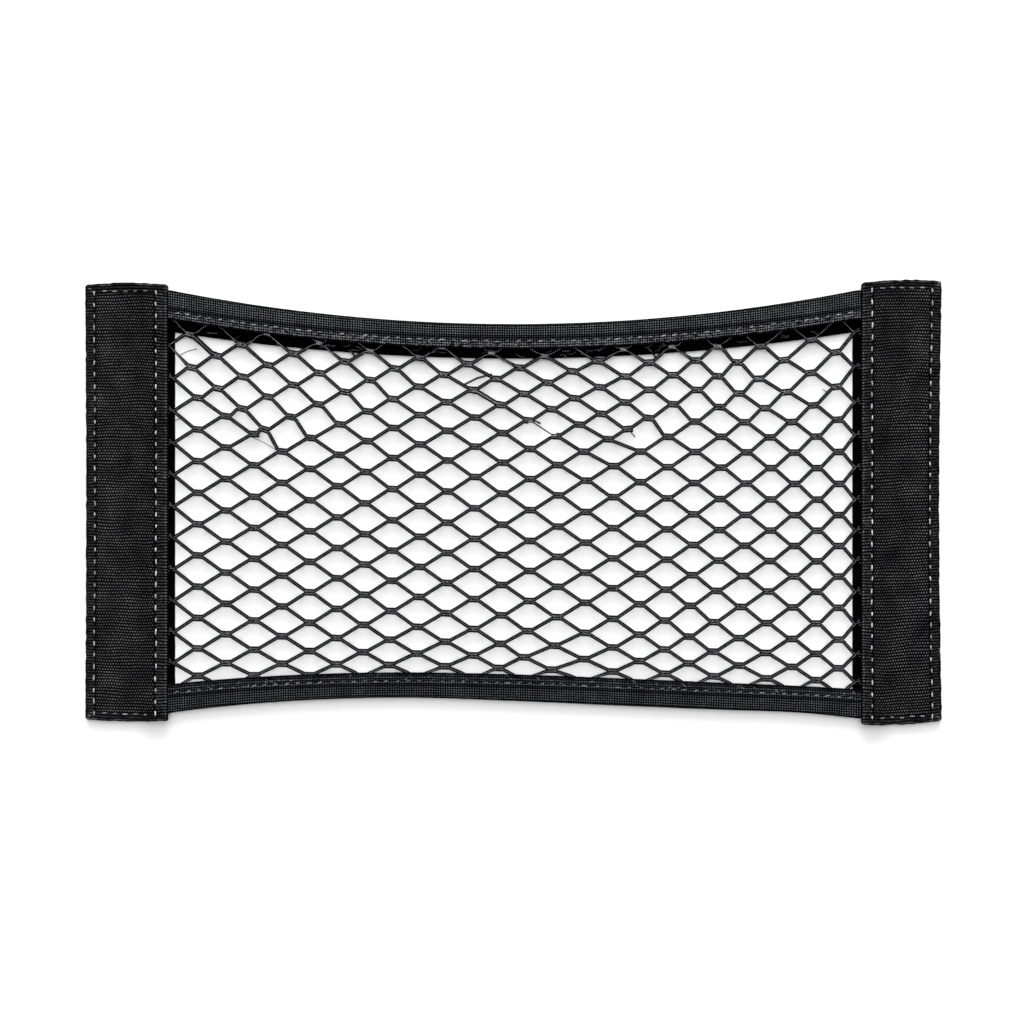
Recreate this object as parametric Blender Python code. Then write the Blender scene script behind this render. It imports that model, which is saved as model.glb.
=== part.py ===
"""Car mesh pocket: an elastic diamond net between two cloth end bands, its long edges bound in folded tape.

The pocket lies on its back. X runs along its length, Y towards its top edge and Z up from the surface
it lies on, with the origin under the middle of the whole outline. Every size below is in millimetres
and becomes metres when a mesh is made.

From the surface up: the back strip of each end band, the back layer of the folded tapes, the net, the
front layer of the tapes, and the front cloth of each band, which drapes over all of them.
"""
import math
from collections import namedtuple

import bmesh
import bpy

MILLIMETRE = 0.001
GAP = 0.3                  # between one piece and the next
CENTRING = 0.17            # moves every piece up to bring the middle of the outline over the origin

# Heights of the layers
STRIP_THICK = 1.2          # back strip of a band
TAPE_THICK = 1.0
NET_THICK = 1.4
CLOTH_THICK = 1.1          # front cloth of a band
TAPE_LOW = STRIP_THICK + GAP
NET_LOW = TAPE_LOW + TAPE_THICK + GAP
NET_HIGH = NET_LOW + NET_THICK
TAPE_HIGH = NET_HIGH + GAP + TAPE_THICK

# Net
STRAND_HALF = 0.95         # half the width of a strand
KNOT_HALF = 1.75           # half the height of a knot
KNOT_ARM = 1.65            # from a knot's middle to where its strands fork
MARGIN_HALF = 2.0          # half the width of the plaited margin that the seams catch
MARGIN_INSET = 3.6         # from a cover's edge to the middle of that margin
TOP_MARGIN_HALF = 4.0      # along the top it starts at the tape's back edge and runs on under the front layer
KNOT_CLEAR = 2.5           # a knot nearer to the margin than this is part of it
JOIN_REACH = 7.5           # strands that reach the margin nearer together than this share a joint
SMALLEST_HOLE = 14.0       # square millimetres
MOST_HOLES = 300

# The net's knots stand at half columns and half rows, like the black squares of a chessboard.
Column = namedtuple("Column", "number across")
COLUMNS = (
    Column(-14, -228.0), Column(-12, -196.3), Column(-8, -132.1), Column(-4, -69.1), Column(0, -6.6),
    Column(4, 56.9), Column(8, 117.8), Column(11, 160.6), Column(13, 185.8), Column(15, 209.0),
)
Row = namedtuple("Row", "number up tilt bow")      # up at X = 0, slope, and curve per millimetre of X squared
ROWS = (
    Row(-12, 118.0, -0.034, 0.00050), Row(-8, 87.5, -0.034, 0.00042), Row(-4, 55.5, -0.034, 0.00022),
    Row(0, 22.0, -0.036, 0.00012), Row(4, -13.3, -0.035, 0.00010), Row(8, -47.6, -0.033, 0.00007),
    Row(12, -81.2, -0.033, 0.00001), Row(14, -95.0, -0.028, -0.00006), Row(16, -106.0, -0.022, -0.00012),
    Row(18, -117.0, -0.015, -0.00012),
)
FIRST_COLUMN, LAST_COLUMN = -15, 16
FIRST_ROW, LAST_ROW = -14, 20
CROSSINGS = range(-20, 20)
LINES = range(-18, 18)
PARALLEL = 0.08            # sine of the angle under which two ribs count as parallel
HALVINGS = 30              # steps that narrow down where a strand meets the margin

# Two falling strands stop part of the way down, and the strands beside them close up below.
ShortStrand = namedtuple("ShortStrand", "line last_crossing share_up reach_down reach_up ease")
SHORT_STRANDS = (
    ShortStrand(-4.5, -5, 1.0, 1.0, 6.0, 2.0),
    ShortStrand(3.5, 1, 0.5, 1.5, 3.0, 1.0),
)
# Places where the cloth tugs the net out of line
Tug = namedtuple("Tug", "across up reach pull_across pull_up")
TUGS = (
    Tug(148.0, 80.0, 32.0, -7.5, -3.5),
    Tug(125.0, -84.0, 38.0, -4.0, -0.5),
    Tug(15.0, -100.0, 22.0, -4.5, 0.0),
    Tug(0.0, 62.0, 50.0, 2.4, 1.1),
    Tug(-62.0, -96.0, 38.0, -1.9, 0.3),
    Tug(122.0, 44.0, 32.0, 1.6, 0.5),
    Tug(-92.0, 46.0, 24.0, 2.0, 0.4),
    Tug(62.0, 82.0, 24.0, 2.2, -2.0),
)

# Folded tapes. The top tape sags between the bands: each edge is a parabola in X.
SPAN_HALF = 196.0          # the tapes run level beyond this, inside the bands
TAPE_END = 203.5
Sag = namedtuple("Sag", "middle rise")
TOP_FOLD = Sag(101.7, 19.3)
TOP_FRONT = Sag(87.4, 16.8)
TOP_BACK = Sag(82.0, 15.3)
TapeStation = namedtuple("TapeStation", "across front fold")
BOTTOM_TAPE = (
    TapeStation(-196, -103.9, -120.4), TapeStation(-179, -102.2, -118.2), TapeStation(-122, -98.5, -113.4),
    TapeStation(-68, -97.2, -111.7), TapeStation(0, -98.3, -113.6), TapeStation(61, -100.6, -116.3),
    TapeStation(118, -103.0, -118.6), TapeStation(169, -105.2, -120.7), TapeStation(196, -106.8, -123.5),
)
BOTTOM_BACK_SHORTER = 1.0  # the back layer of the bottom tape hides behind the front one
FOLD_HEIGHT = 2.9          # a tape is pressed flatter at its fold than over the net
FOLD_ROUND = 0.8
TAPE_STATIONS = 35

# End bands
Band = namedtuple("Band", "name side inner outer waist top_inner top_outer top_crest "
                          "bottom_inner bottom_outer bottom_crest strip_shows")
BANDS = (
    Band("left", -1, 196.9, 244.6, 0.5, 124.1, 124.1, 1.2, -124.8, -124.2, 0.8, 3.3),
    Band("right", 1, 198.2, 244.64, 1.5, 124.85, 126.25, 1.4, -127.0, -124.9, 1.2, 4.3),
)
STRIP_CORNER_WIDE = 7.0    # the back strip's inner corners are cut off behind the tapes
STRIP_CORNER_HIGH = 9.0
CORNER_CUT = 0.9           # how far a corner is rounded back
RIM_LOW = 0.4              # the turned-down hem stops just above the surface
PANEL_RISE = 0.7           # hollow between the panel and the back strip
HEM_WIDE = 6.0             # from an edge to the line of stitches
HEM_RISE = 0.5
HEM_SOFT = 3.0             # the step between hem and panel is spread over twice this
CREST_WIDE = 9.5           # how far in from the inner edge the cloth lies over the net
CREST_SLOPE = 10.0
TAPE_ZONE = 99.0           # beyond this height the cloth lies over a tape too
TAPE_ZONE_SLOPE = 13.0
ACROSS_LINES = (0.0, 4.5, 9.5, 14.5, 19.5, 26.0, 33.0, 40.0)     # from the inner edge; the hem's lines follow
HEM_LINES = (6.5, 3.0, 0.0)                                      # from the other three edges
ALONG_LINES = 27
STRIP_STEPS = 6            # straight runs along each edge of a back strip
Pucker = namedtuple("Pucker", "up depth half_wide lean")
PUCKERS = {
    "left": (Pucker(72, 0.30, 7, 0.05), Pucker(38, 0.50, 6, 0.10), Pucker(15, 0.55, 5, -0.06),
             Pucker(-16, 0.25, 7, 0.04), Pucker(-44, 0.50, 6, -0.08), Pucker(-76, 0.30, 8, 0.05),
             Pucker(-99, 0.45, 5, 0.06)),
    "right": (Pucker(98, 0.30, 7, -0.05), Pucker(74, 0.50, 6, -0.14), Pucker(30, 0.55, 6, 0.12),
              Pucker(2, 0.25, 8, -0.05), Pucker(-33, 0.50, 5, 0.08), Pucker(-50, 0.45, 5, -0.10),
              Pucker(-88, 0.30, 8, 0.06)),
}

# Colours are linear
Finish = namedtuple("Finish", "name colour roughness")
NET_YARN = Finish("elastic_net_yarn", (0.0143, 0.0143, 0.0152, 1.0), 0.72)
TAPE_WEAVE = Finish("woven_elastic_tape", (0.0110, 0.0110, 0.0120, 1.0), 0.78)
BAND_WEAVE = Finish("woven_band_cloth", (0.0100, 0.0100, 0.0108, 1.0), 0.80)
STRIP_WEAVE = Finish("plain_back_strip", (0.0070, 0.0070, 0.0075, 1.0), 0.85)


def read(rows, name, at):
    """Read the named column of a table at any value of its first column, on a smooth curve."""
    steps = [row[0] for row in rows]
    values = [getattr(row, name) for row in rows]
    slopes = [(v1 - v0) / (s1 - s0) for s0, s1, v0, v1 in zip(steps, steps[1:], values, values[1:])]
    if at <= steps[0]:
        return values[0] + slopes[0] * (at - steps[0])
    if at >= steps[-1]:
        return values[-1] + slopes[-1] * (at - steps[-1])
    tangents = [slopes[0]]
    for k in range(1, len(steps) - 1):
        before, after = steps[k] - steps[k - 1], steps[k + 1] - steps[k]
        tangents.append((slopes[k - 1] * after + slopes[k] * before) / (before + after))
    tangents.append(slopes[-1])
    k = max(n for n, step in enumerate(steps) if step < at)
    width = steps[k + 1] - steps[k]
    t = (at - steps[k]) / width
    return ((1 + 2 * t) * (1 - t) ** 2 * values[k] + t * (1 - t) ** 2 * width * tangents[k]
            + t * t * (3 - 2 * t) * values[k + 1] + t * t * (t - 1) * width * tangents[k + 1])


def ramp(value, start, end):
    """Rise smoothly from 0 at start to 1 at end."""
    t = max(0.0, min(1.0, (value - start) / (end - start)))
    return t * t * (3 - 2 * t)


def add_object(name, bm, finish, smooth_angle=40.0):
    """Make a finished mesh, given in millimetres, into an object with its own material."""
    bmesh.ops.translate(bm, vec=(0, CENTRING, 0), verts=bm.verts)
    bmesh.ops.scale(bm, vec=(MILLIMETRE,) * 3, verts=bm.verts)
    mesh = bpy.data.meshes.new(name)
    bm.to_mesh(mesh)
    bm.free()
    mesh.shade_smooth()
    mesh.set_sharp_from_angle(angle=math.radians(smooth_angle))
    material = bpy.data.materials.get(finish.name) or bpy.data.materials.new(finish.name)
    material.use_nodes = True
    shader = material.node_tree.nodes["Principled BSDF"]
    shader.inputs["Base Color"].default_value = finish.colour
    shader.inputs["Roughness"].default_value = finish.roughness
    shader.inputs["Metallic"].default_value = 0.0
    mesh.materials.append(material)
    obj = bpy.data.objects.new(name, mesh)
    bpy.context.collection.objects.link(obj)
    return obj


# Folded tapes

def top_tape(x):
    """Heights of the top tape's fold, front edge and back edge at X."""
    t = (min(SPAN_HALF, abs(x)) / SPAN_HALF) ** 2
    return tuple(edge.middle + edge.rise * t for edge in (TOP_FOLD, TOP_FRONT, TOP_BACK))


def bottom_tape(x):
    """Heights of the bottom tape's fold, front edge and back edge at X."""
    x = max(-SPAN_HALF, min(SPAN_HALF, x))
    front = read(BOTTOM_TAPE, "front", x)
    return read(BOTTOM_TAPE, "fold", x), front, front - BOTTOM_BACK_SHORTER


def tape_section(fold, front, back):
    """Outline in Y and Z of a tape folded over the net's margin, from its front edge to its back edge."""
    out = 1 if fold > front else -1
    fold_high = TAPE_LOW + FOLD_HEIGHT
    return [
        (front, TAPE_HIGH), (front + out * 2 * MARGIN_INSET, TAPE_HIGH), (fold - out * FOLD_ROUND, fold_high),
        (fold, fold_high - FOLD_ROUND), (fold, TAPE_LOW + FOLD_ROUND), (fold - out * FOLD_ROUND, TAPE_LOW),
        (back, TAPE_LOW), (back, TAPE_LOW + TAPE_THICK),
        (fold - out * TAPE_THICK, TAPE_LOW + TAPE_THICK), (fold - out * TAPE_THICK, fold_high - TAPE_THICK),
        (front + out * 2 * MARGIN_INSET, TAPE_HIGH - TAPE_THICK), (front, TAPE_HIGH - TAPE_THICK),
    ]


def make_tape(name, edges):
    """Sweep the folded section along the pocket, from inside one end band to inside the other."""
    bm = bmesh.new()
    rings = []
    for k in range(TAPE_STATIONS + 1):
        x = -TAPE_END + 2 * TAPE_END * k / TAPE_STATIONS
        rings.append([bm.verts.new((x, y, z)) for y, z in tape_section(*edges(x))])
    for ring, following in zip(rings, rings[1:]):
        for k in range(len(ring)):
            bm.faces.new((ring[k - 1], ring[k], following[k], following[k - 1]))
    bm.faces.new(rings[0])
    bm.faces.new(reversed(rings[-1]))
    bmesh.ops.recalc_face_normals(bm, faces=bm.faces)
    return add_object(name, bm, TAPE_WEAVE)


# Net

def knot_place(line, crossing):
    """Place of the knot where a falling strand, or line, meets a rising one, or crossing."""
    shift = 0.0
    for short in SHORT_STRANDS:
        beside = line - short.line
        below_end = short.last_crossing + 1 - crossing
        if beside == 0:
            shift += short.share_up - 0.5
        elif below_end > 0:
            grown = 1 - math.exp(-below_end / short.ease)
            if beside > 0:
                shift += short.share_up * math.exp(-beside / short.reach_up) * grown
            else:
                shift -= (1 - short.share_up) * math.exp(beside / short.reach_down) * grown
    column, row = line + shift + crossing, crossing - line - shift
    x = read(COLUMNS, "across", column)
    y = read(ROWS, "up", row) + read(ROWS, "tilt", row) * x + read(ROWS, "bow", row) * x * x
    felt = [math.exp(-((x - tug.across) ** 2 + (y - tug.up) ** 2) / tug.reach ** 2) for tug in TUGS]
    return (x + sum(f * tug.pull_across for f, tug in zip(felt, TUGS)),
            y + sum(f * tug.pull_up for f, tug in zip(felt, TUGS)))


def margin_box(x):
    """Left, bottom, right and top of the middle of the net's margin, at X."""
    left, right = BANDS[0].inner + MARGIN_INSET, BANDS[1].inner + MARGIN_INSET
    return -left, bottom_tape(x)[1] - MARGIN_INSET, right, top_tape(x)[2] + TOP_MARGIN_HALF + GAP


def within_margin(point, clear=None):
    """Tell whether a point lies inside the middle of the margin, or clear of all of it by a distance."""
    left, bottom, right, top = margin_box(point[0])
    side, above = (0.0, 0.0) if clear is None else (MARGIN_HALF + clear, TOP_MARGIN_HALF + clear)
    return left + side < point[0] < right - side and bottom + side < point[1] < top - above


def net_knots():
    """Places of the net's knots, by line and crossing, with the strands that join them."""
    lines = sorted(list(LINES) + [short.line for short in SHORT_STRANDS])
    ends = {short.line: short.last_crossing for short in SHORT_STRANDS}
    knots = {}
    for line in lines:
        for crossing in CROSSINGS:
            in_columns = FIRST_COLUMN <= line + crossing <= LAST_COLUMN
            in_rows = FIRST_ROW <= crossing - line <= LAST_ROW
            if in_columns and in_rows and crossing <= ends.get(line, crossing):
                knots[line, crossing] = knot_place(line, crossing)
    falling = [((line, c), (line, c + 1)) for line, c in knots if (line, c + 1) in knots]
    rising = []
    for crossing in CROSSINGS:
        met = [line for line in lines if (line, crossing) in knots]
        rising += [((a, crossing), (b, crossing)) for a, b in zip(met, met[1:]) if b - a <= 1]
    return knots, falling + rising


class Web:
    """Flat ribs that meet at joints, made into one slab with a hole in each mesh of the web."""

    def __init__(self):
        self.places = []
        self.ribs = []                     # for each joint, the half width of its rib to each other joint

    def joint(self, x, y):
        """Add a joint and return its number."""
        self.places.append((x, y))
        self.ribs.append({})
        return len(self.places) - 1

    def rib(self, one, other, half_width):
        """Join two joints."""
        self.ribs[one][other] = self.ribs[other][one] = half_width

    def heading(self, one, other):
        """Unit direction from one joint to another."""
        dx, dy = (b - a for a, b in zip(self.places[one], self.places[other]))
        length = math.hypot(dx, dy)
        return dx / length, dy / length

    def around(self, joint):
        """Neighbours of a joint, anticlockwise."""
        def angle(other):
            dx, dy = self.heading(joint, other)
            return math.atan2(dy, dx)
        return sorted(self.ribs[joint], key=angle)

    def corner(self, joint, first, second):
        """Point where the near sides of two neighbouring ribs meet, second being anticlockwise of first."""
        (ax, ay), (bx, by) = self.heading(joint, first), self.heading(joint, second)
        wide_a, wide_b = self.ribs[joint][first], self.ribs[joint][second]
        turn = ax * by - ay * bx
        x, y = self.places[joint]
        if abs(turn) < PARALLEL:
            return x - ay * wide_a, y + ax * wide_a
        return x + (wide_b * ax + wide_a * bx) / turn, y + (wide_b * ay + wide_a * by) / turn

    def slab(self, low, high):
        """Build the web between two heights, and return its mesh and its number of holes."""
        bm = bmesh.new()
        orders = [self.around(joint) for joint in range(len(self.places))]
        corners = {}
        for joint, order in enumerate(orders):
            for first, second in zip(order, order[1:] + order[:1]):
                x, y = self.corner(joint, first, second)
                corners[joint, first] = (bm.verts.new((x, y, high)), bm.verts.new((x, y, low)))

        def before(joint, other):
            order = orders[joint]
            return order[order.index(other) - 1]

        def flat(keys):
            """Close a patch on the top and on the underside."""
            bm.faces.new([corners[key][0] for key in keys])
            bm.faces.new([corners[key][1] for key in reversed(keys)])

        for joint, order in enumerate(orders):
            if len(order) > 2:
                flat([(joint, other) for other in order])
            for other in order:
                if joint < other:
                    flat([(joint, before(joint, other)), (other, joint),
                          (other, before(other, joint)), (joint, other)])
        meshes = self.meshes(orders)
        holes = sorted((m for m in meshes if self.area(m, corners) > SMALLEST_HOLE),
                       key=lambda m: -self.area(m, corners))[:MOST_HOLES]
        for mesh in meshes:
            if self.area(mesh, corners) < 0 or mesh in holes:
                for here, there in zip(mesh, mesh[1:] + mesh[:1]):
                    bm.faces.new((corners[here][0], corners[there][0], corners[there][1], corners[here][1]))
            else:
                flat(mesh)
        return bm, len(holes)

    @staticmethod
    def meshes(orders):
        """Follow every mesh of the web, and its outside, as a ring of corners."""
        rings, seen = [], set()
        for start in ((joint, other) for joint, order in enumerate(orders) for other in order):
            ring, (joint, other) = [], start
            while (joint, other) not in seen:
                seen.add((joint, other))
                ring.append((joint, other))
                order = orders[other]
                joint, other = other, order[order.index(joint) - 1]
            if ring:
                rings.append(ring)
        return rings

    @staticmethod
    def area(mesh, corners):
        """Area of a ring of corners, negative for the outside of the web."""
        points = [corners[key][0].co for key in mesh]
        return 0.5 * sum(a.x * b.y - b.x * a.y for a, b in zip(points, points[1:] + points[:1]))


def add_knots(web, knots, strands):
    """Add each knot inside the margin as a short bar, and return the joints at its two ends."""
    kept = {key for key, place in knots.items() if within_margin(place, KNOT_CLEAR)}
    sides = {key: ([], []) for key in kept}
    for one, other in strands:
        if one in kept:
            sides[one][1].append(knots[other])
        if other in kept:
            sides[other][0].append(knots[one])
    bars = {}
    for key in sorted(kept):
        x, y = knots[key]
        ends = [[sum(values) / len(side) for values in zip(*side)] for side in sides[key]]
        dx, dy = (b - a for a, b in zip(*ends))
        dx, dy = dx * KNOT_ARM / math.hypot(dx, dy), dy * KNOT_ARM / math.hypot(dx, dy)
        bars[key] = web.joint(x - dx, y - dy), web.joint(x + dx, y + dy)
        web.rib(*bars[key], KNOT_HALF)
    return bars


def margin_crossing(inside, outside):
    """Find where a strand crosses the margin's middle, and the side: 0 left, 1 bottom, 2 right, 3 top."""
    low, high = 0.0, 1.0
    for _ in range(HALVINGS):
        middle = 0.5 * (low + high)
        point = [a + (b - a) * middle for a, b in zip(inside, outside)]
        low, high = (middle, high) if within_margin(point) else (low, middle)
    distances = [abs(point[side % 2] - edge) for side, edge in enumerate(margin_box(point[0]))]
    return distances.index(min(distances)), point


def add_margin(web, knots, strands, bars):
    """Run the plaited margin round the net and tie every strand that reaches it to a joint there."""
    left, _, right, _ = margin_box(0)
    reached = []
    for one, other in strands:
        if (one in bars) != (other in bars):
            inside, outside = (one, other) if one in bars else (other, one)
            side, (x, y) = margin_crossing(knots[inside], knots[outside])
            along = (-y, x, y, -x)[side]
            reached.append((side, along, (x, y), bars[inside][1 if inside == one else 0]))
    loop = []
    for side in range(4):
        half_width = TOP_MARGIN_HALF if side == 3 else MARGIN_HALF
        x = (left, left, right, right)[side]
        loop.append((web.joint(x, margin_box(x)[3 if side in (0, 3) else 1]), half_width))
        groups = []
        for _, along, place, joint in sorted(entry for entry in reached if entry[0] == side):
            reach = 2 * JOIN_REACH if groups and groups[-1][-1][2] == joint else JOIN_REACH
            if groups and along - groups[-1][-1][0] < reach:
                groups[-1].append((along, place, joint))
            else:
                groups.append([(along, place, joint)])
        for group in groups:
            x, y = (sum(entry[1][axis] for entry in group) / len(group) for axis in (0, 1))
            loop.append((web.joint(x, y), half_width))
            for _, _, joint in group:
                web.rib(joint, loop[-1][0], STRAND_HALF)
    for (one, half_width), (other, _) in zip(loop, loop[1:] + loop[:1]):
        web.rib(one, other, half_width)


def make_net():
    """Build the net as one slab: knots, strands between them, and the margin that the seams catch."""
    knots, strands = net_knots()
    web = Web()
    bars = add_knots(web, knots, strands)
    for one, other in strands:
        if one in bars and other in bars:
            web.rib(bars[one][1], bars[other][0], STRAND_HALF)
    add_margin(web, knots, strands, bars)
    bm, holes = web.slab(NET_LOW, NET_HIGH)
    print("net holes:", holes, "knots:", len(bars))
    return add_object("net", bm, NET_YARN)


# End bands

def band_point(band, across, along, inset=0.0):
    """Point of a band: across runs 0 to 1 from inner to outer edge, along 0 to 1 from bottom to top."""
    waist = band.waist * math.sin(math.pi * along)
    outer = band.outer - waist - inset
    x = band.inner + (outer - band.inner) * across
    crest = band.top_crest * math.sin(math.pi * across)
    top = band.top_inner + (band.top_outer - band.top_inner) * across + crest - inset
    sag = band.bottom_crest * math.sin(math.pi * across)
    bottom = band.bottom_inner + (band.bottom_outer - band.bottom_inner) * across - sag + inset
    y = bottom + (top - bottom) * along
    if across == 1 and along in (0, 1):
        return x - CORNER_CUT, y - CORNER_CUT * (2 * along - 1)
    return x, y


def cloth_rise(band, x, y, top, bottom):
    """Height of the underside of a band's front cloth, at a place of the band as on its right-hand twin."""
    over_tape = ramp(abs(y), TAPE_ZONE - TAPE_ZONE_SLOPE, TAPE_ZONE)
    crest = NET_HIGH + GAP + over_tape * (TAPE_THICK + GAP)
    panel = STRIP_THICK + GAP + PANEL_RISE
    from_edge = min(band.outer - x, top - y, y - bottom)
    in_panel = ramp(from_edge, HEM_WIDE - HEM_SOFT, HEM_WIDE + HEM_SOFT)
    panel += HEM_RISE * (1 - in_panel)
    for pucker in PUCKERS[band.name]:
        off = (y - pucker.up - pucker.lean * (x - band.inner)) / pucker.half_wide
        panel -= pucker.depth * math.exp(-off * off) * in_panel
    down = ramp(x - band.inner, CREST_WIDE, CREST_WIDE + CREST_SLOPE)
    return crest + (panel - crest) * down


def make_front_cloth(band):
    """Drape the front cloth over net and tapes, and turn its hem down round the back strip on three sides."""
    wide = band.outer - band.inner
    tall = band.top_inner - band.bottom_inner
    across = [line / wide for line in ACROSS_LINES] + [1 - line / wide for line in HEM_LINES]
    hem = [line / tall for line in reversed(HEM_LINES)]
    inner_lines = [hem[-1] + (1 - 2 * hem[-1]) * k / ALONG_LINES for k in range(1, ALONG_LINES)]
    along = hem + inner_lines + [1 - line for line in reversed(hem)]
    bm = bmesh.new()
    columns, rows = len(across), len(along)

    def grid(inset, lift):
        """Lay a grid of points over the band."""
        made = []
        for c, a in enumerate(across):
            made.append([])
            for r, b in enumerate(along):
                x, y = band_point(band, a, b, inset)
                z = cloth_rise(band, x, y, band_point(band, a, 1)[1], band_point(band, a, 0)[1]) + lift
                made[-1].append(bm.verts.new((band.side * x, y, z)))
        return made

    upper, under = grid(0.0, CLOTH_THICK), grid(CLOTH_THICK, 0.0)
    for made in (upper, under):
        for c in range(columns - 1):
            for r in range(rows - 1):
                bm.faces.new((made[c][r], made[c + 1][r], made[c + 1][r + 1], made[c][r + 1]))
    edge = ([(c, 0) for c in range(columns)] + [(columns - 1, r) for r in range(1, rows)]
            + [(c, rows - 1) for c in range(columns - 2, -1, -1)])
    walls = []
    for c, r in edge:
        outside, inside = upper[c][r], under[c][r]
        foot = [bm.verts.new((v.co.x, v.co.y, RIM_LOW)) for v in (outside, inside)]
        walls.append((outside, foot[0], foot[1], inside))
    for here, there in zip(walls, walls[1:]):
        for k in range(3):
            bm.faces.new((here[k], there[k], there[k + 1], here[k + 1]))
    bm.faces.new(walls[0])
    bm.faces.new(walls[-1])
    for r in range(rows - 1):
        bm.faces.new((upper[0][r], upper[0][r + 1], under[0][r + 1], under[0][r]))
    bmesh.ops.recalc_face_normals(bm, faces=bm.faces)
    return add_object(band.name + "_band_front", bm, BAND_WEAVE)


def make_back_strip(band):
    """Cut the flat back strip, which shows a little past the front cloth's inner edge between the tapes."""
    inset = CLOTH_THICK + GAP
    wide = band.outer - band.inner
    shows, cut = -band.strip_shows / wide, (STRIP_CORNER_WIDE - band.strip_shows) / wide
    shares = [k / STRIP_STEPS for k in range(STRIP_STEPS + 1)]
    across = [cut * (1 - share) + share for share in shares]
    (inner, bottom), (_, top) = (band_point(band, shows, along, inset) for along in (0, 1))
    outline = [(inner, bottom + STRIP_CORNER_HIGH)]
    outline += [band_point(band, a, 0, inset) for a in across]
    outline += [band_point(band, 1, share, inset) for share in shares[1:-1]]
    outline += [band_point(band, a, 1, inset) for a in reversed(across)]
    outline += [(inner, top - STRIP_CORNER_HIGH)]
    bm = bmesh.new()
    under = [bm.verts.new((band.side * x, y, 0.0)) for x, y in outline]
    upper = [bm.verts.new((band.side * x, y, STRIP_THICK)) for x, y in outline]
    bm.faces.new(under)
    bm.faces.new(upper)
    for k in range(len(outline)):
        bm.faces.new((under[k - 1], under[k], upper[k], upper[k - 1]))
    bmesh.ops.recalc_face_normals(bm, faces=bm.faces)
    return add_object(band.name + "_band_back", bm, STRIP_WEAVE)


def main():
    """Make every piece of the pocket."""
    for old in list(bpy.data.objects):
        bpy.data.objects.remove(old, do_unlink=True)
    make_net()
    make_tape("top_tape", top_tape)
    make_tape("bottom_tape", bottom_tape)
    for band in BANDS:
        make_front_cloth(band)
        make_back_strip(band)


main()
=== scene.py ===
"""Dresses the car mesh pocket: knotted elastic net, woven tapes, stitched end bands, floor and soft light.

Sizes are in millimetres and become metres as each mesh is made. X runs along the pocket, Y towards its top
edge and Z up from the surface it lies on.
"""
from __future__ import annotations

import itertools
import logging
import math
import random
from collections.abc import Callable, Iterable, Sequence
from dataclasses import dataclass, field
from enum import Enum
from functools import partial
from typing import NamedTuple

import bmesh
import bpy
import numpy as np
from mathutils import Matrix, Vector, noise

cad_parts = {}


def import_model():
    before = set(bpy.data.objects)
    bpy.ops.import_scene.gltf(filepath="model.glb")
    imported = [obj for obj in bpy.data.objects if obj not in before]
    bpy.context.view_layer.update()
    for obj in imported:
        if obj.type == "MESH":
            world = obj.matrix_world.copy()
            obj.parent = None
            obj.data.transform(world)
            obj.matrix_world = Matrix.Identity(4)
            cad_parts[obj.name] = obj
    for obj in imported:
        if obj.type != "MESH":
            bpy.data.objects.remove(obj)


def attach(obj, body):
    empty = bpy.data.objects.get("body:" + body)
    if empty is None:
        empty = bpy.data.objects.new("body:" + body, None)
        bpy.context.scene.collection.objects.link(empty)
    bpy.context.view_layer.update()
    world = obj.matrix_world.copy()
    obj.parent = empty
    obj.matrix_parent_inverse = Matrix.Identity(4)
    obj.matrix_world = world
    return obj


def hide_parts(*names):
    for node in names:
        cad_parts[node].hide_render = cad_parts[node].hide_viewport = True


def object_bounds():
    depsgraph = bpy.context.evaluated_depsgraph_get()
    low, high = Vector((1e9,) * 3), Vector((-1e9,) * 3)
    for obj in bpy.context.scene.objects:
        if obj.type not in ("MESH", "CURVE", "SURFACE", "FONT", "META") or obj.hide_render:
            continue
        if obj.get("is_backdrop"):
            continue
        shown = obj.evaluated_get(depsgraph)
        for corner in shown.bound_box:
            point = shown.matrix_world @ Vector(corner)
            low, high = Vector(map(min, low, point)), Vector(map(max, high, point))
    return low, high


log = logging.getLogger("mesh_pocket")

# Starts of the random draws for the knots and for the loose ends
KNOT_SEED = 7
LOOSE_SEED = 11

MM = 0.001
# The tables' own middle lies this far below the middle of the part's box
CENTRING = 0.17
# Stands for a distance too great to matter
FAR = 50.0

# Layers, from the surface up
GAP = 0.3
STRIP_THICK = 1.2
TAPE_THICK = 1.0
TAPE_LOW = STRIP_THICK + GAP
NET_LOW = TAPE_LOW + TAPE_THICK + GAP
NET_HIGH = NET_LOW + 1.4
NET_MIDDLE = 0.5 * (NET_LOW + NET_HIGH)
TAPE_HIGH = NET_HIGH + GAP + TAPE_THICK
CLOTH_THICK = 1.1

MATH = "ShaderNodeMath"
VECTOR_MATH = "ShaderNodeVectorMath"
MIX = "ShaderNodeMix"
MAP_RANGE = "ShaderNodeMapRange"
NOISE = "ShaderNodeTexNoise"

Place = tuple[float, float]
Key = tuple[float, int]
Pattern = tuple[bpy.types.Node, bpy.types.Node]


# Small helpers

def ramp(value: float, start: float, end: float) -> float:
    """Rise smoothly from 0 at start to 1 at end."""
    t = max(0.0, min(1.0, (value - start) / (end - start)))
    return t * t * (3 - 2 * t)


def bell(value: float, width: float) -> float:
    """A smooth hump of height 1 round zero."""
    return math.exp(-(value / width) ** 2)


def stir(x: float, y: float, wide: float, tall: float, seed: float) -> float:
    """Smooth unevenness between -1 and 1, in humps of a given width and height."""
    return noise.noise(Vector((x / wide, y / tall, seed)))


def dent(off: float, along: float, pitch: float, pull: float, half_wide: float) -> float:
    """How deep a line of stitches pulls the cloth in, which is deepest where its thread dips."""
    return (0.22 + pull * (0.5 + 0.5 * math.cos(2 * math.pi * along / pitch))) * bell(off, half_wide)


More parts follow.
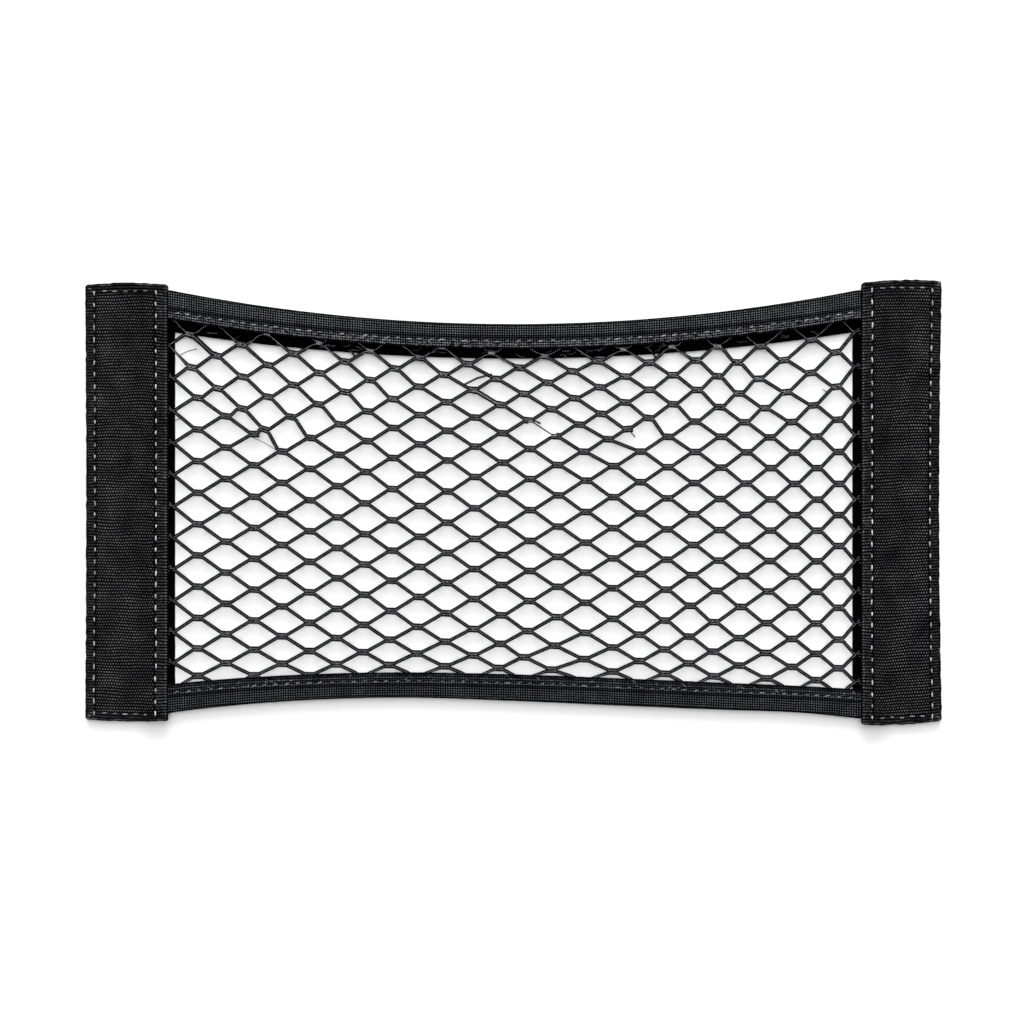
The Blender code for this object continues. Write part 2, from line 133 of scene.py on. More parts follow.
def unit(dx: float, dy: float) -> Place:
    """Scale a direction to length 1, and take none for level."""
    long = math.hypot(dx, dy)
    return (dx / long, dy / long) if long else (1.0, 0.0)


def between(one: Place, other: Place, share: float) -> Place:
    """Place a share of the way from one to the other."""
    return one[0] + (other[0] - one[0]) * share, one[1] + (other[1] - one[1]) * share


def length(path: Sequence[Sequence[float]]) -> float:
    """Length of a path."""
    return sum(math.dist(one, other) for one, other in zip(path, path[1:]))


def read(rows: Sequence[NamedTuple], name: str, at: float) -> float:
    """Read a named column of a table on a smooth curve.

    Args:
        rows: Table rows, whose first column rises.
        name: The column to read.
        at: Value of the first column to read it at.

    Returns:
        The column's value there.
    """
    steps = [row[0] for row in rows]
    values = [getattr(row, name) for row in rows]
    slopes = [(v1 - v0) / (s1 - s0) for s0, s1, v0, v1 in zip(steps, steps[1:], values, values[1:])]
    if at <= steps[0]:
        return values[0] + slopes[0] * (at - steps[0])
    if at >= steps[-1]:
        return values[-1] + slopes[-1] * (at - steps[-1])
    tangents = [slopes[0]]
    for k in range(1, len(steps) - 1):
        before, after = steps[k] - steps[k - 1], steps[k + 1] - steps[k]
        tangents.append((slopes[k - 1] * after + slopes[k] * before) / (before + after))
    tangents.append(slopes[-1])
    k = max(n for n, step in enumerate(steps) if step < at)
    width = steps[k + 1] - steps[k]
    t = (at - steps[k]) / width
    return ((1 + 2 * t) * (1 - t) ** 2 * values[k] + t * (1 - t) ** 2 * width * tangents[k]
            + t * t * (3 - 2 * t) * values[k + 1] + t * t * (t - 1) * width * tangents[k + 1])


def linear(code: str) -> tuple[float, float, float, float]:
    """Turn an sRGB hex code into a linear colour."""
    parts = [int(code[k:k + 2], 16) / 255 for k in (1, 3, 5)]
    red, green, blue = (p / 12.92 if p <= 0.04045 else ((p + 0.055) / 1.055) ** 2.4 for p in parts)
    return red, green, blue, 1.0


def add_node(tree: bpy.types.NodeTree, kind: str, *feeds: object, **settings: object) -> bpy.types.Node:
    """Add one shader node.

    Args:
        tree: The node tree it goes in.
        kind: Blender's name of the node type.
        feeds: What its inputs get in turn: a value, a socket, a node for its first output, or None.
        settings: Properties by name, and what inputs get by name.

    Returns:
        The new node.
    """
    node = tree.nodes.new(kind)
    inputs = dict(enumerate(feeds))
    for name, value in settings.items():
        if name in node.inputs:
            inputs[name] = value
        else:
            setattr(node, name, value)
    for name, value in inputs.items():
        if isinstance(value, bpy.types.Node):
            value = value.outputs[0]
        if isinstance(value, bpy.types.NodeSocket):
            tree.links.new(value, node.inputs[name])
        elif value is not None:
            node.inputs[name].default_value = value
    return node


class Layer(Enum):
    """Names of the values that a mesh carries for its material."""
    COORDS = "cloth_mm"
    PALE = "pale"
    SEAM = "seam_mm"


class Piece:
    """A mesh that is put together face by face in millimetres and then made into an object."""

    def __init__(self) -> None:
        """Start empty."""
        self.points: list[tuple[float, float, float]] = []
        self.faces: list[tuple[int, ...]] = []
        self.slots: list[int] = []
        self.coords: list[Place] = []
        self.pale: list[float] = []
        self.seam: list[float] = []

    def point(self, place: Sequence[float], coords: Place = (0.0, 0.0), pale: float = 1.0,
              seam: float = FAR) -> int:
        """Add a point.

        Args:
            place: Where it stands.
            coords: Its millimetres along and across the cloth or cord.
            pale: How light its threads are, against the usual, painted highlights and shade included.
            seam: Millimetres from the nearest line of stitches, below zero in a hem.

        Returns:
            Its number.
        """
        self.points.append((place[0] * MM, (place[1] + CENTRING) * MM, place[2] * MM))
        self.coords.append(coords)
        self.pale.append(pale)
        self.seam.append(seam)
        return len(self.points) - 1

    def face(self, corners: Iterable[int], slot: int = 0) -> None:
        """Add a face."""
        self.faces.append(tuple(corners))
        self.slots.append(slot)

    def skin(self, rings: Sequence[Sequence[int]], closed: bool = True) -> None:
        """Join each row of points to the next by a strip of faces, all the way round if closed."""
        for one, other in zip(rings, rings[1:]):
            for k in range(len(one) if closed else len(one) - 1):
                n = (k + 1) % len(one)
                self.face((one[k], one[n], other[n], other[k]))

    def build(self, name: str, finishes: Sequence[Finish], smooth_angle: float = 60.0,
              mend: bool = True) -> bpy.types.Object:
        """Make the object and let it ride on the pocket.

        Args:
            name: The object's name.
            finishes: Its finishes.
            smooth_angle: Edges sharper than this stay sharp, in degrees.
            mend: Whether to turn all faces outwards.

        Returns:
            The finished object, at the origin.
        """
        mesh = bpy.data.meshes.new(name)
        mesh.from_pydata(self.points, [], self.faces)
        layer = mesh.uv_layers.new(name=Layer.COORDS.value)
        corner_points = np.empty(len(mesh.loops), np.int32)
        mesh.loops.foreach_get("vertex_index", corner_points)
        layer.data.foreach_set("uv", np.array(self.coords, np.float32)[corner_points].ravel())
        for kept, values in ((Layer.PALE, self.pale), (Layer.SEAM, self.seam)):
            attribute = mesh.attributes.new(kept.value, "FLOAT", "POINT")
            attribute.data.foreach_set("value", np.array(values, np.float32))
        mesh.polygons.foreach_set("material_index", np.array(self.slots, np.int32))
        for finish in finishes:
            mesh.materials.append(finish.material())
        if mend:
            bm = bmesh.new()
            bm.from_mesh(mesh)
            bmesh.ops.recalc_face_normals(bm, faces=bm.faces)
            bm.to_mesh(mesh)
            bm.free()
        mesh.shade_smooth()
        mesh.set_sharp_from_angle(angle=math.radians(smooth_angle))
        mesh.validate()
        obj = bpy.data.objects.new(name, mesh)
        bpy.context.collection.objects.link(obj)
        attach(obj, "root")
        return obj


# Finishes

@dataclass(frozen=True)
class Finish:
    """What every finish of the pocket has.

    Attributes:
        name: Its name, after what the real material is.
        dark: Colour in the hollows between threads.
        light: Colour of the threads that stand proud.
        roughness: Of the threads.
        bump_mm: Height of the threads.
        specular: How much the threads shine.
    """
    name: str
    dark: str
    light: str
    roughness: float
    bump_mm: float
    specular: float = 0.008

    def material(self) -> bpy.types.Material:
        """Make the material, or return it if it is made already."""
        made = bpy.data.materials.get(self.name)
        if made:
            return made
        made = bpy.data.materials.new(self.name)
        made.use_nodes = True
        tree = made.node_tree
        shader = tree.nodes["Principled BSDF"]
        shader.inputs["Roughness"].default_value = self.roughness
        shader.inputs["Specular IOR Level"].default_value = self.specular
        share, height = self.pattern(tree)
        colour = add_node(tree, MIX, share, data_type="RGBA")
        colour.inputs[6].default_value = linear(self.dark)
        colour.inputs[7].default_value = linear(self.light)
        tree.links.new(colour.outputs[2], shader.inputs["Base Color"])
        bump = add_node(tree, "ShaderNodeBump", Strength=1.0, Distance=self.bump_mm * MM, Height=height)
        tree.links.new(bump.outputs[0], shader.inputs["Normal"])
        return made

    def pattern(self, tree: bpy.types.NodeTree) -> Pattern:
        """Make the pattern: how light the threads are, and how high."""
        raise NotImplementedError


@dataclass(frozen=True)
class WovenCloth(Finish):
    """A weave whose threads show as rows of light dots on dark gaps.

    Attributes:
        pitch_along: Millimetres from dot to dot along a row.
        pitch_across: Millimetres from row to row.
        row_turn: How far each row's dots step on from the last row's, as an angle.
        dot_sharp: How short the dots are along a row.
        row_sharp: How thin the rows are.
        wander_mm: How far the threads stray.
        patch_mm: Size of lighter and darker patches.
        merge: How far the dots run together into ribs in a hem, from 0 to 1.
        groove_at: Middle of the groove that the stitches pull in, in millimetres from them, darkened by
            painted shade.
        groove_half: Half its width.
        groove_shade: How light it is, as painted shade.
    """
    pitch_along: float = 1.5
    pitch_across: float = 1.7
    row_turn: float = math.pi
    dot_sharp: float = 1.6
    row_sharp: float = 1.6
    wander_mm: float = 0.35
    patch_mm: float = 16.0
    merge: float = 0.7
    groove_at: float = 0.7
    groove_half: float = 0.9
    groove_shade: float = 0.25

    def pattern(self, tree: bpy.types.NodeTree) -> Pattern:
        """Make the weave from the cloth's own millimetre coordinates."""
        add = partial(add_node, tree)
        coords = add("ShaderNodeUVMap", uv_map=Layer.COORDS.value)
        seam, pale = (add("ShaderNodeAttribute", attribute_name=kept.value).outputs["Fac"]
                      for kept in (Layer.SEAM, Layer.PALE))
        stray = add(NOISE, coords, Scale=0.16, Detail=2.0).outputs["Color"]
        centred = add(VECTOR_MATH, stray, (0.5, 0.5, 0.5), operation="SUBTRACT")
        moved = add(VECTOR_MATH, centred, (2 * self.wander_mm,) * 3, coords, operation="MULTIPLY_ADD")
        split = add("ShaderNodeSeparateXYZ", moved)
        rows = add(MATH, split.outputs[1], 1 / self.pitch_across, operation="MULTIPLY")
        number = add(MATH, rows, operation="ROUND")
        step = add(MATH, number, self.row_turn, operation="MULTIPLY")
        along = add(MATH, split, 2 * math.pi / self.pitch_along, step, operation="MULTIPLY_ADD")
        across = add(MATH, rows, 2 * math.pi, operation="MULTIPLY")
        profiles = []
        for phase, sharp in ((along, self.dot_sharp), (across, self.row_sharp)):
            wave = add(MATH, phase, operation="COSINE")
            lifted = add(MATH, wave, 0.5, 0.5, operation="MULTIPLY_ADD")
            profiles.append(add(MATH, lifted, sharp, operation="POWER"))
        in_hem = add(MAP_RANGE, seam, 0.2, -0.8, 0.0, self.merge)
        merged = add(MIX, in_hem, None, profiles[0], 0.5)
        dots = add(MATH, merged, profiles[1], operation="MULTIPLY")
        frays = add(NOISE, coords, Scale=1.1, Detail=1.0)
        broken = add(MAP_RANGE, frays, 0.4, 0.6, 0.05, 1.6)
        shares = [add(MIX, in_hem, None, 1.0, broken), pale]
        for scale, low, high in ((0.62, 0.45, 1.15), (1.0 / self.patch_mm, 0.55, 1.1)):
            blotches = add(NOISE, coords, Scale=scale, Detail=2.0)
            shares.append(add(MAP_RANGE, blotches, 0.3, 0.7, low, high))
        # Painted shade: the colour darkens in the groove along the stitches
        off = add(MATH, seam, self.groove_at, operation="SUBTRACT")
        away = add(MATH, off, operation="ABSOLUTE")
        shares.append(add(MAP_RANGE, away, 0.0, self.groove_half, self.groove_shade,
                          interpolation_type="SMOOTHSTEP"))
        light = dots
        for share in shares:
            light = add(MATH, light, share, operation="MULTIPLY")
        return light, dots


@dataclass(frozen=True)
class Yarn(Finish):
    """A cord or thread whose plies show as short slanted dashes.

    Attributes:
        dash_mm: Millimetres from dash to dash.
        slant: How far the dashes lean.
        base: Share of the light colour between dashes.
    """
    dash_mm: float = 0.7
    slant: float = 1.0
    base: float = 0.25

    def pattern(self, tree: bpy.types.NodeTree) -> Pattern:
        """Make slanted dashes from the cord's own coordinates."""
        add = partial(add_node, tree)
        split = add("ShaderNodeSeparateXYZ", add("ShaderNodeUVMap", uv_map=Layer.COORDS.value))
        lean = add(MATH, split.outputs[1], self.slant, split, operation="MULTIPLY_ADD")
        phase = add(MATH, lean, 2 * math.pi / self.dash_mm, operation="MULTIPLY")
        wave = add(MATH, phase, operation="SINE")
        dash = add(MATH, wave, 0.5, 0.5, operation="MULTIPLY_ADD")
        place = add("ShaderNodeTexCoord").outputs["Object"]
        specks = add(NOISE, place, Scale=700.0, Detail=2.0)
        uneven = add(MAP_RANGE, specks, 0.3, 0.7, 0.5, 1.2)
        lit = add(MATH, dash, 1 - self.base, self.base, operation="MULTIPLY_ADD")
        mixed = add(MATH, lit, uneven, operation="MULTIPLY")
        pale = add("ShaderNodeAttribute", attribute_name=Layer.PALE.value).outputs["Fac"]
        return add(MATH, mixed, pale, operation="MULTIPLY"), dash


# Elastic cord, polyester over rubber: black, its grey showing as slanted ply dashes along a painted highlight
# on the top of each strand
CORD = Yarn("elastic_cord_yarn", "#010102", "#8e8e92", 0.70, 0.04, dash_mm=1.25, slant=0.52, base=0.6)
# The cord's warp threads, crossed over each knot, catch the light on every turn
BRAID = Yarn("knot_braid_yarn", "#040405", "#949496", 0.60, 0.06, dash_mm=0.9, slant=0.5, base=0.7)
# Spun polyester sewing thread: grey where the light catches it
THREAD = Yarn("sewing_thread", "#101011", "#d0d0d2", 0.60, 0.08, dash_mm=0.8, slant=0.8, base=0.6)
# Narrow woven elastic: upright ribs cut by picks, so it shows as a square grid of dots
TAPE = WovenCloth("ribbed_elastic_webbing", "#020203", "#93969a", 0.75, 0.12, pitch_along=1.38,
                  pitch_across=1.38, row_turn=0.0, dot_sharp=2.6, row_sharp=2.2, wander_mm=0.32,
                  patch_mm=14.0, merge=0.1, groove_at=2.1, groove_half=1.7, groove_shade=0.15)
# The same elastic's inside, which lies in the shade and hardly shows its ribs
TAPE_BACK = WovenCloth("webbing_inside", "#020203", "#0c0c0d", 0.85, 0.12, pitch_along=1.38,
                       pitch_across=1.38, row_turn=0.0, wander_mm=0.25, merge=0.0, groove_shade=1.0)
# Coarse basket-weave polyester: staggered dots in rows on black gaps, run together into ribs in the hems
BAND = WovenCloth("coarse_basket_cloth", "#020203", "#828283", 0.75, 0.18, pitch_along=1.48,
                  pitch_across=1.70, dot_sharp=2.2, row_sharp=2.7, wander_mm=0.45, patch_mm=15.0,
                  merge=0.5, groove_at=0.65, groove_half=1.1, groove_shade=0.05)
# Plain black lining: its weave is too fine and dark to show as more than a tint
STRIP = WovenCloth("plain_lining_cloth", "#020203", "#0e0e0f", 0.88, 0.12, pitch_along=1.0, pitch_across=1.0,
                   wander_mm=0.2, patch_mm=6.0, groove_shade=1.0)


# Sewing

class Sewing:
    """A run of stitches: one thread loop is modelled, and every stitch is a copy of it."""

    def __init__(self) -> None:
        """Model the loop and start an empty run."""
        self.loop_points, self.loop_faces = self.model_loop()
        self.piece = Piece()
        self.count = 0

    @staticmethod
    def model_loop() -> tuple[list[Vector], list[tuple[int, ...]]]:
        """Shape one loop of thread, a millimetre long, that dips into the cloth at both ends.

        Returns:
            Its points and faces.
        """
        bpy.ops.object.select_all(action="DESELECT")
        on_side = (0, math.pi / 2, 0)
        bpy.ops.mesh.primitive_uv_sphere_add(segments=8, ring_count=7, radius=0.5, rotation=on_side)
        loop = bpy.context.active_object
        bpy.ops.object.transform_apply(location=False, rotation=True, scale=True)
        mesh = loop.data
        points = [Vector((math.copysign(abs(2 * x) ** 0.6, x) / 2, y, z))
                  for x, y, z in (vertex.co for vertex in mesh.vertices)]
        faces = [tuple(polygon.vertices) for polygon in mesh.polygons]
        bpy.data.objects.remove(loop)
        bpy.data.meshes.remove(mesh)
        return points, faces

    def stitch(self, place: Sequence[float], turn: float, long: float, pale: float, wide: float = 0.85,
               high: float = 0.65) -> None:
        """Sew one stitch.

        Args:
            place: Its middle.
            turn: Its direction in the cloth, in radians from X.
            long: Its length.
            pale: How light its thread is.
            wide: The thread's width.
            high: The thread's height.
        """
        base = len(self.piece.points)
        c, s = math.cos(turn), math.sin(turn)
        for p in self.loop_points:
            x, y = p.x * long, p.y * wide
            sink = 0.35 * (2 * p.x) ** 4
            # Painted shade: the loop is darker low down, where it dips into the cloth
            light = pale * (0.35 + 0.65 * ramp(p.z, -0.1, 0.45))
            here = (place[0] + c * x - s * y, place[1] + s * x + c * y, place[2] + p.z * high - sink)
            self.piece.point(here, (x, math.atan2(p.z, p.y) * 0.4), light)
        for face in self.loop_faces:
            self.piece.face(base + k for k in face)
        self.count += 1

    def finish(self, name: str) -> bpy.types.Object:
        """Make the run into a piece."""
        obj = self.piece.build(name, (THREAD,), mend=False)
        log.info("%s: %d stitches", name, self.count)
        return obj


# Folded tapes

class Sag(NamedTuple):
    """An edge that sags between the bands: its height in the middle, and how much it rises at the ends."""
    middle: float
    rise: float


class TapeStation(NamedTuple):
    """Heights of the bottom tape's front edge and fold at one place."""
    across: float
    front: float
    fold: float


class TapeEdges(NamedTuple):
    """Heights of a tape's fold, front edge and back edge."""
    fold: float
    front: float
    back: float


# The tapes curve up to here, and run on straight to their ends under the bands
SPAN_HALF = 196.0
TAPE_END = 203.5
TOP_FOLD, TOP_FRONT, TOP_BACK = Sag(101.7, 19.3), Sag(87.4, 16.8), Sag(82.0, 15.3)
BOTTOM_TAPE = (
    TapeStation(-196, -103.9, -120.4), TapeStation(-179, -102.2, -118.2), TapeStation(-122, -98.5, -113.4),
    TapeStation(-68, -97.2, -111.7), TapeStation(0, -98.3, -113.6), TapeStation(61, -100.6, -116.3),
    TapeStation(118, -103.0, -118.6), TapeStation(169, -105.2, -120.7), TapeStation(196, -106.8, -123.5),
)
BOTTOM_BACK_SHORTER = 1.0


def top_tape(x: float) -> TapeEdges:
    """Edges of the top tape at X."""
    t = (min(SPAN_HALF, abs(x)) / SPAN_HALF) ** 2
    return TapeEdges(*(edge.middle + edge.rise * t for edge in (TOP_FOLD, TOP_FRONT, TOP_BACK)))


def bottom_tape(x: float) -> TapeEdges:
    """Edges of the bottom tape at X."""
    x = max(-SPAN_HALF, min(SPAN_HALF, x))
    front = read(BOTTOM_TAPE, "front", x)
    return TapeEdges(read(BOTTOM_TAPE, "fold", x), front, front - BOTTOM_BACK_SHORTER)


@dataclass
class FoldedTape:
    """A woven tape folded over the net's margin and sewn through.

    Attributes:
        name: Its node's name.
        edges: Gives its edges at any X.
        stitch_in: Distance of the stitches from the front edge.
        seed: Start of its small unevenness.
        border_pale: How light the border between the front edge and the stitches is, against the rest.
        rim_line: How much lighter than that a line along the border's middle is.
        stitch_pale: How light its stitches are.
        curls: How many short curls of yarn lie in the border.
        level: The front layer is level up to this far from its edge, and slopes down to the fold from there.
        fold_high: Height of the upper side at the fold.
        round_off: How much of the fold is rounded off.
        step: Distance from one modelled section to the next.
        pitch: Distance from stitch to stitch.
        stitch_long: Length of a stitch.
        swept: Length of the cloth along its front edge, once it is made.
    """
    name: str
    edges: Callable[[float], TapeEdges]
    stitch_in: float
    seed: float
    border_pale: float
    rim_line: float
    stitch_pale: float
    curls: int
    level: float = 7.2
    fold_high: float = TAPE_LOW + 2.9
    round_off: float = 0.8
    step: float = 1.3
    pitch: float = 6.3
    stitch_long: float = 3.4
    swept: float = 0.0

    def top_height(self, x: float, inward: float, wide: float) -> float:
        """Height of the front layer's upper side.

        Args:
            x: Place along the tape.
            inward: Distance from the front edge towards the fold.
            wide: Distance from the front edge to the fold.

        Returns:
            The height in millimetres.
        """
        down = ramp(inward, self.level, wide - self.round_off)
        height = TAPE_HIGH + (self.fold_high - TAPE_HIGH) * down
        height -= dent(inward - self.stitch_in, x, self.pitch, 0.2, 0.9)
        height += 0.16 * stir(x, inward, 5.0, 7.0, self.seed) * ramp(inward, 0.0, 2.0)
        edge = min(1.0, inward / 0.9)
        return height - 0.45 * (1 - math.sqrt(1 - (1 - edge) ** 2))

    def upon(self, x: float, inward: float, lift: float) -> tuple[float, float, float]:
        """Point just above the front layer, a distance inward from its edge."""
        fold, front, _ = self.edges(x)
        return (x, front + math.copysign(inward, fold - front),
                self.top_height(x, inward, abs(fold - front)) + lift)

    def section(self, x: float) -> list[tuple[float, float, float, int]]:
        """Outline of the folded tape at X: Y, Z, distance along the cloth, and finish number."""
        fold, front, back = self.edges(x)
        out = math.copysign(1.0, fold - front)
        front += 0.12 * stir(x, 4.0, 3.1, 1.0, self.seed)
        wide, deep = abs(fold - front), abs(back - fold)
        rows = [(front + out * inward, self.top_height(x, inward, wide), inward, 0)
                for inward in (0.0, 0.25, 0.6, 1.1, 2.0, 3.0, self.stitch_in - 0.6, self.stitch_in,
                               self.stitch_in + 0.6, self.stitch_in + 1.6, self.level, 9.0, 11.0,
                               wide - 2.2, wide - 1.2, wide - 0.6)]
        top, low, lined = rows[-1][1], TAPE_LOW, wide + 2 * deep
        for k in range(1, 5):
            turn = math.pi * k / 5
            rows.append((fold - out * 0.6 * (1 - math.sin(turn)),
                         0.5 * (top + low) + 0.5 * (top - low) * math.cos(turn), wide - 0.6 + 0.7 * k, 0))
        return rows + [
            (fold - out * 0.7, low, wide + 3.0, 0),
            (back + out * 0.3, low, wide + 3.0 + deep, 1),
            (back, low + 0.3, wide + 3.3 + deep, 1),
            (back, low + TAPE_THICK - 0.3, wide + 3.6 + deep, 1),
            (back + out * 0.3, low + TAPE_THICK, wide + 4.0 + deep, 1),
            (fold - out * 1.2, low + TAPE_THICK, lined + 4.0, 1),
            (fold - out * 1.2, self.fold_high - TAPE_THICK, lined + 5.0, 1),
            (front + out * self.level, TAPE_HIGH - TAPE_THICK, lined + 12.0, 1),
            (front + out * 0.3, TAPE_HIGH - TAPE_THICK, lined + 20.0, 1),
            (front, TAPE_HIGH - TAPE_THICK + 0.25, -0.4, 0)]

    def cloth(self) -> bpy.types.Object:
        """Sweep the section along the pocket and dress it, and note how long the cloth is."""
        piece = Piece()
        count = round(2 * TAPE_END / self.step)
        rings, last = [], None
        for k in range(count + 1):
            x = -TAPE_END + 2 * TAPE_END * k / count
            here = (x, self.edges(x).front)
            self.swept += math.dist(here, last or here)
            last = here
            rings.append([piece.point((x, y, z), (self.swept, along), self.paleness(x, along),
                                      along - self.stitch_in) for y, z, along, _ in self.section(x)])
        kinds = [row[3] for row in self.section(0.0)]
        for ring, following in itertools.pairwise(rings):
            for k in range(len(ring)):
                n = (k + 1) % len(ring)
                piece.face((ring[k], ring[n], following[n], following[k]), max(kinds[k], kinds[n]))
        piece.face(rings[0])
        piece.face(reversed(rings[-1]))
        obj = piece.build(self.name + "_cloth", (TAPE, TAPE_BACK))
        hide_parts(self.name)
        return obj

    def paleness(self, x: float, inward: float) -> float:
        """How light the threads are: darkened by painted shade at the rolled front edge and the fold, uneven
        in the border.
        """
        border = 1 - ramp(inward, self.stitch_in - 0.8, self.stitch_in + 0.2)
        uneven = 0.75 + 1.3 * stir(x, inward, 2.6, 1.9, self.seed + 4.0)
        uneven += self.rim_line * bell(inward - 2.8, 0.45)
        wide = abs(self.edges(x).fold - self.edges(x).front)
        # The two ramps at the end paint shade on the rolled front edge and at the fold
        return ((1 + (self.border_pale * uneven - 1) * border) * ramp(inward, 0.0, 0.9)
                * ramp(wide - inward, 0.3, 1.6))

    def unfolded_width(self) -> float:
        """Mean width of the tape laid flat: front layer, round the fold, back layer."""
        stations = [self.edges(-SPAN_HALF + 2 * SPAN_HALF * k / 40) for k in range(41)]
        layers = sum(abs(e.fold - e.front) + abs(e.fold - e.back) for e in stations) / len(stations)
        return layers + self.fold_high - TAPE_LOW

    def stitches(self) -> bpy.types.Object:
        """Sew the line of stitches along the tape, and curl short ends of yarn in its border."""
        sewing = Sewing()
        rng = random.Random(self.name)
        count = int(2 * SPAN_HALF / self.pitch)
        for k in range(count):
            x = (k - (count - 1) / 2) * self.pitch + rng.uniform(-0.5, 0.5)
            slope = (self.edges(x + 1).front - self.edges(x - 1).front) / 2
            place = self.upon(x, self.stitch_in + rng.uniform(-0.25, 0.25), 0.22)
            turn = math.atan(slope) + 0.16 + rng.uniform(-0.26, 0.26)
            long = self.stitch_long * rng.uniform(0.6, 1.05)
            sewing.stitch(place, turn, long, self.stitch_pale * rng.uniform(0.3, 1.1), 0.7)
        for _ in range(self.curls):
            x, inward = rng.uniform(-SPAN_HALF, SPAN_HALF), rng.uniform(0.8, self.stitch_in + 0.4)
            sewing.stitch(self.upon(x, inward, 0.1), rng.uniform(-0.9, 0.9), rng.uniform(1.2, 2.4),
                          rng.uniform(0.1, 0.4), 0.5, 0.5)
        return sewing.finish(self.name + "_stitches")

    def make(self) -> None:
        """Fold and sew the tape, and say how large it is laid flat."""
        cloth = self.cloth()
        stitches = self.stitches()
        unfolded = self.unfolded_width()
        log.info("%s: flat size %.1f x %.1f mm", self.name, unfolded, self.swept)


# End bands

class Pucker(NamedTuple):
    """A hollow across a band: its height, depth, half width and lean."""
    up: float
    depth: float
    half_wide: float
    lean: float


class BandEnd(NamedTuple):
    """An end of a band: its height at the inner and outer edges, and how far it bulges up between them."""
    inner: float
    outer: float
    bulge: float

    def at(self, share: float) -> float:
        """Height at a share of the way out."""
        return self.inner + (self.outer - self.inner) * share + self.bulge * math.sin(math.pi * share)


class Sides(NamedTuple):
    """One distance for each side of a band."""
    outer: float
    top: float
    bottom: float
    inner: float


# Rough height of a band, over which its waist and the waves of its weave are spread
BAND_TALL = 250.0


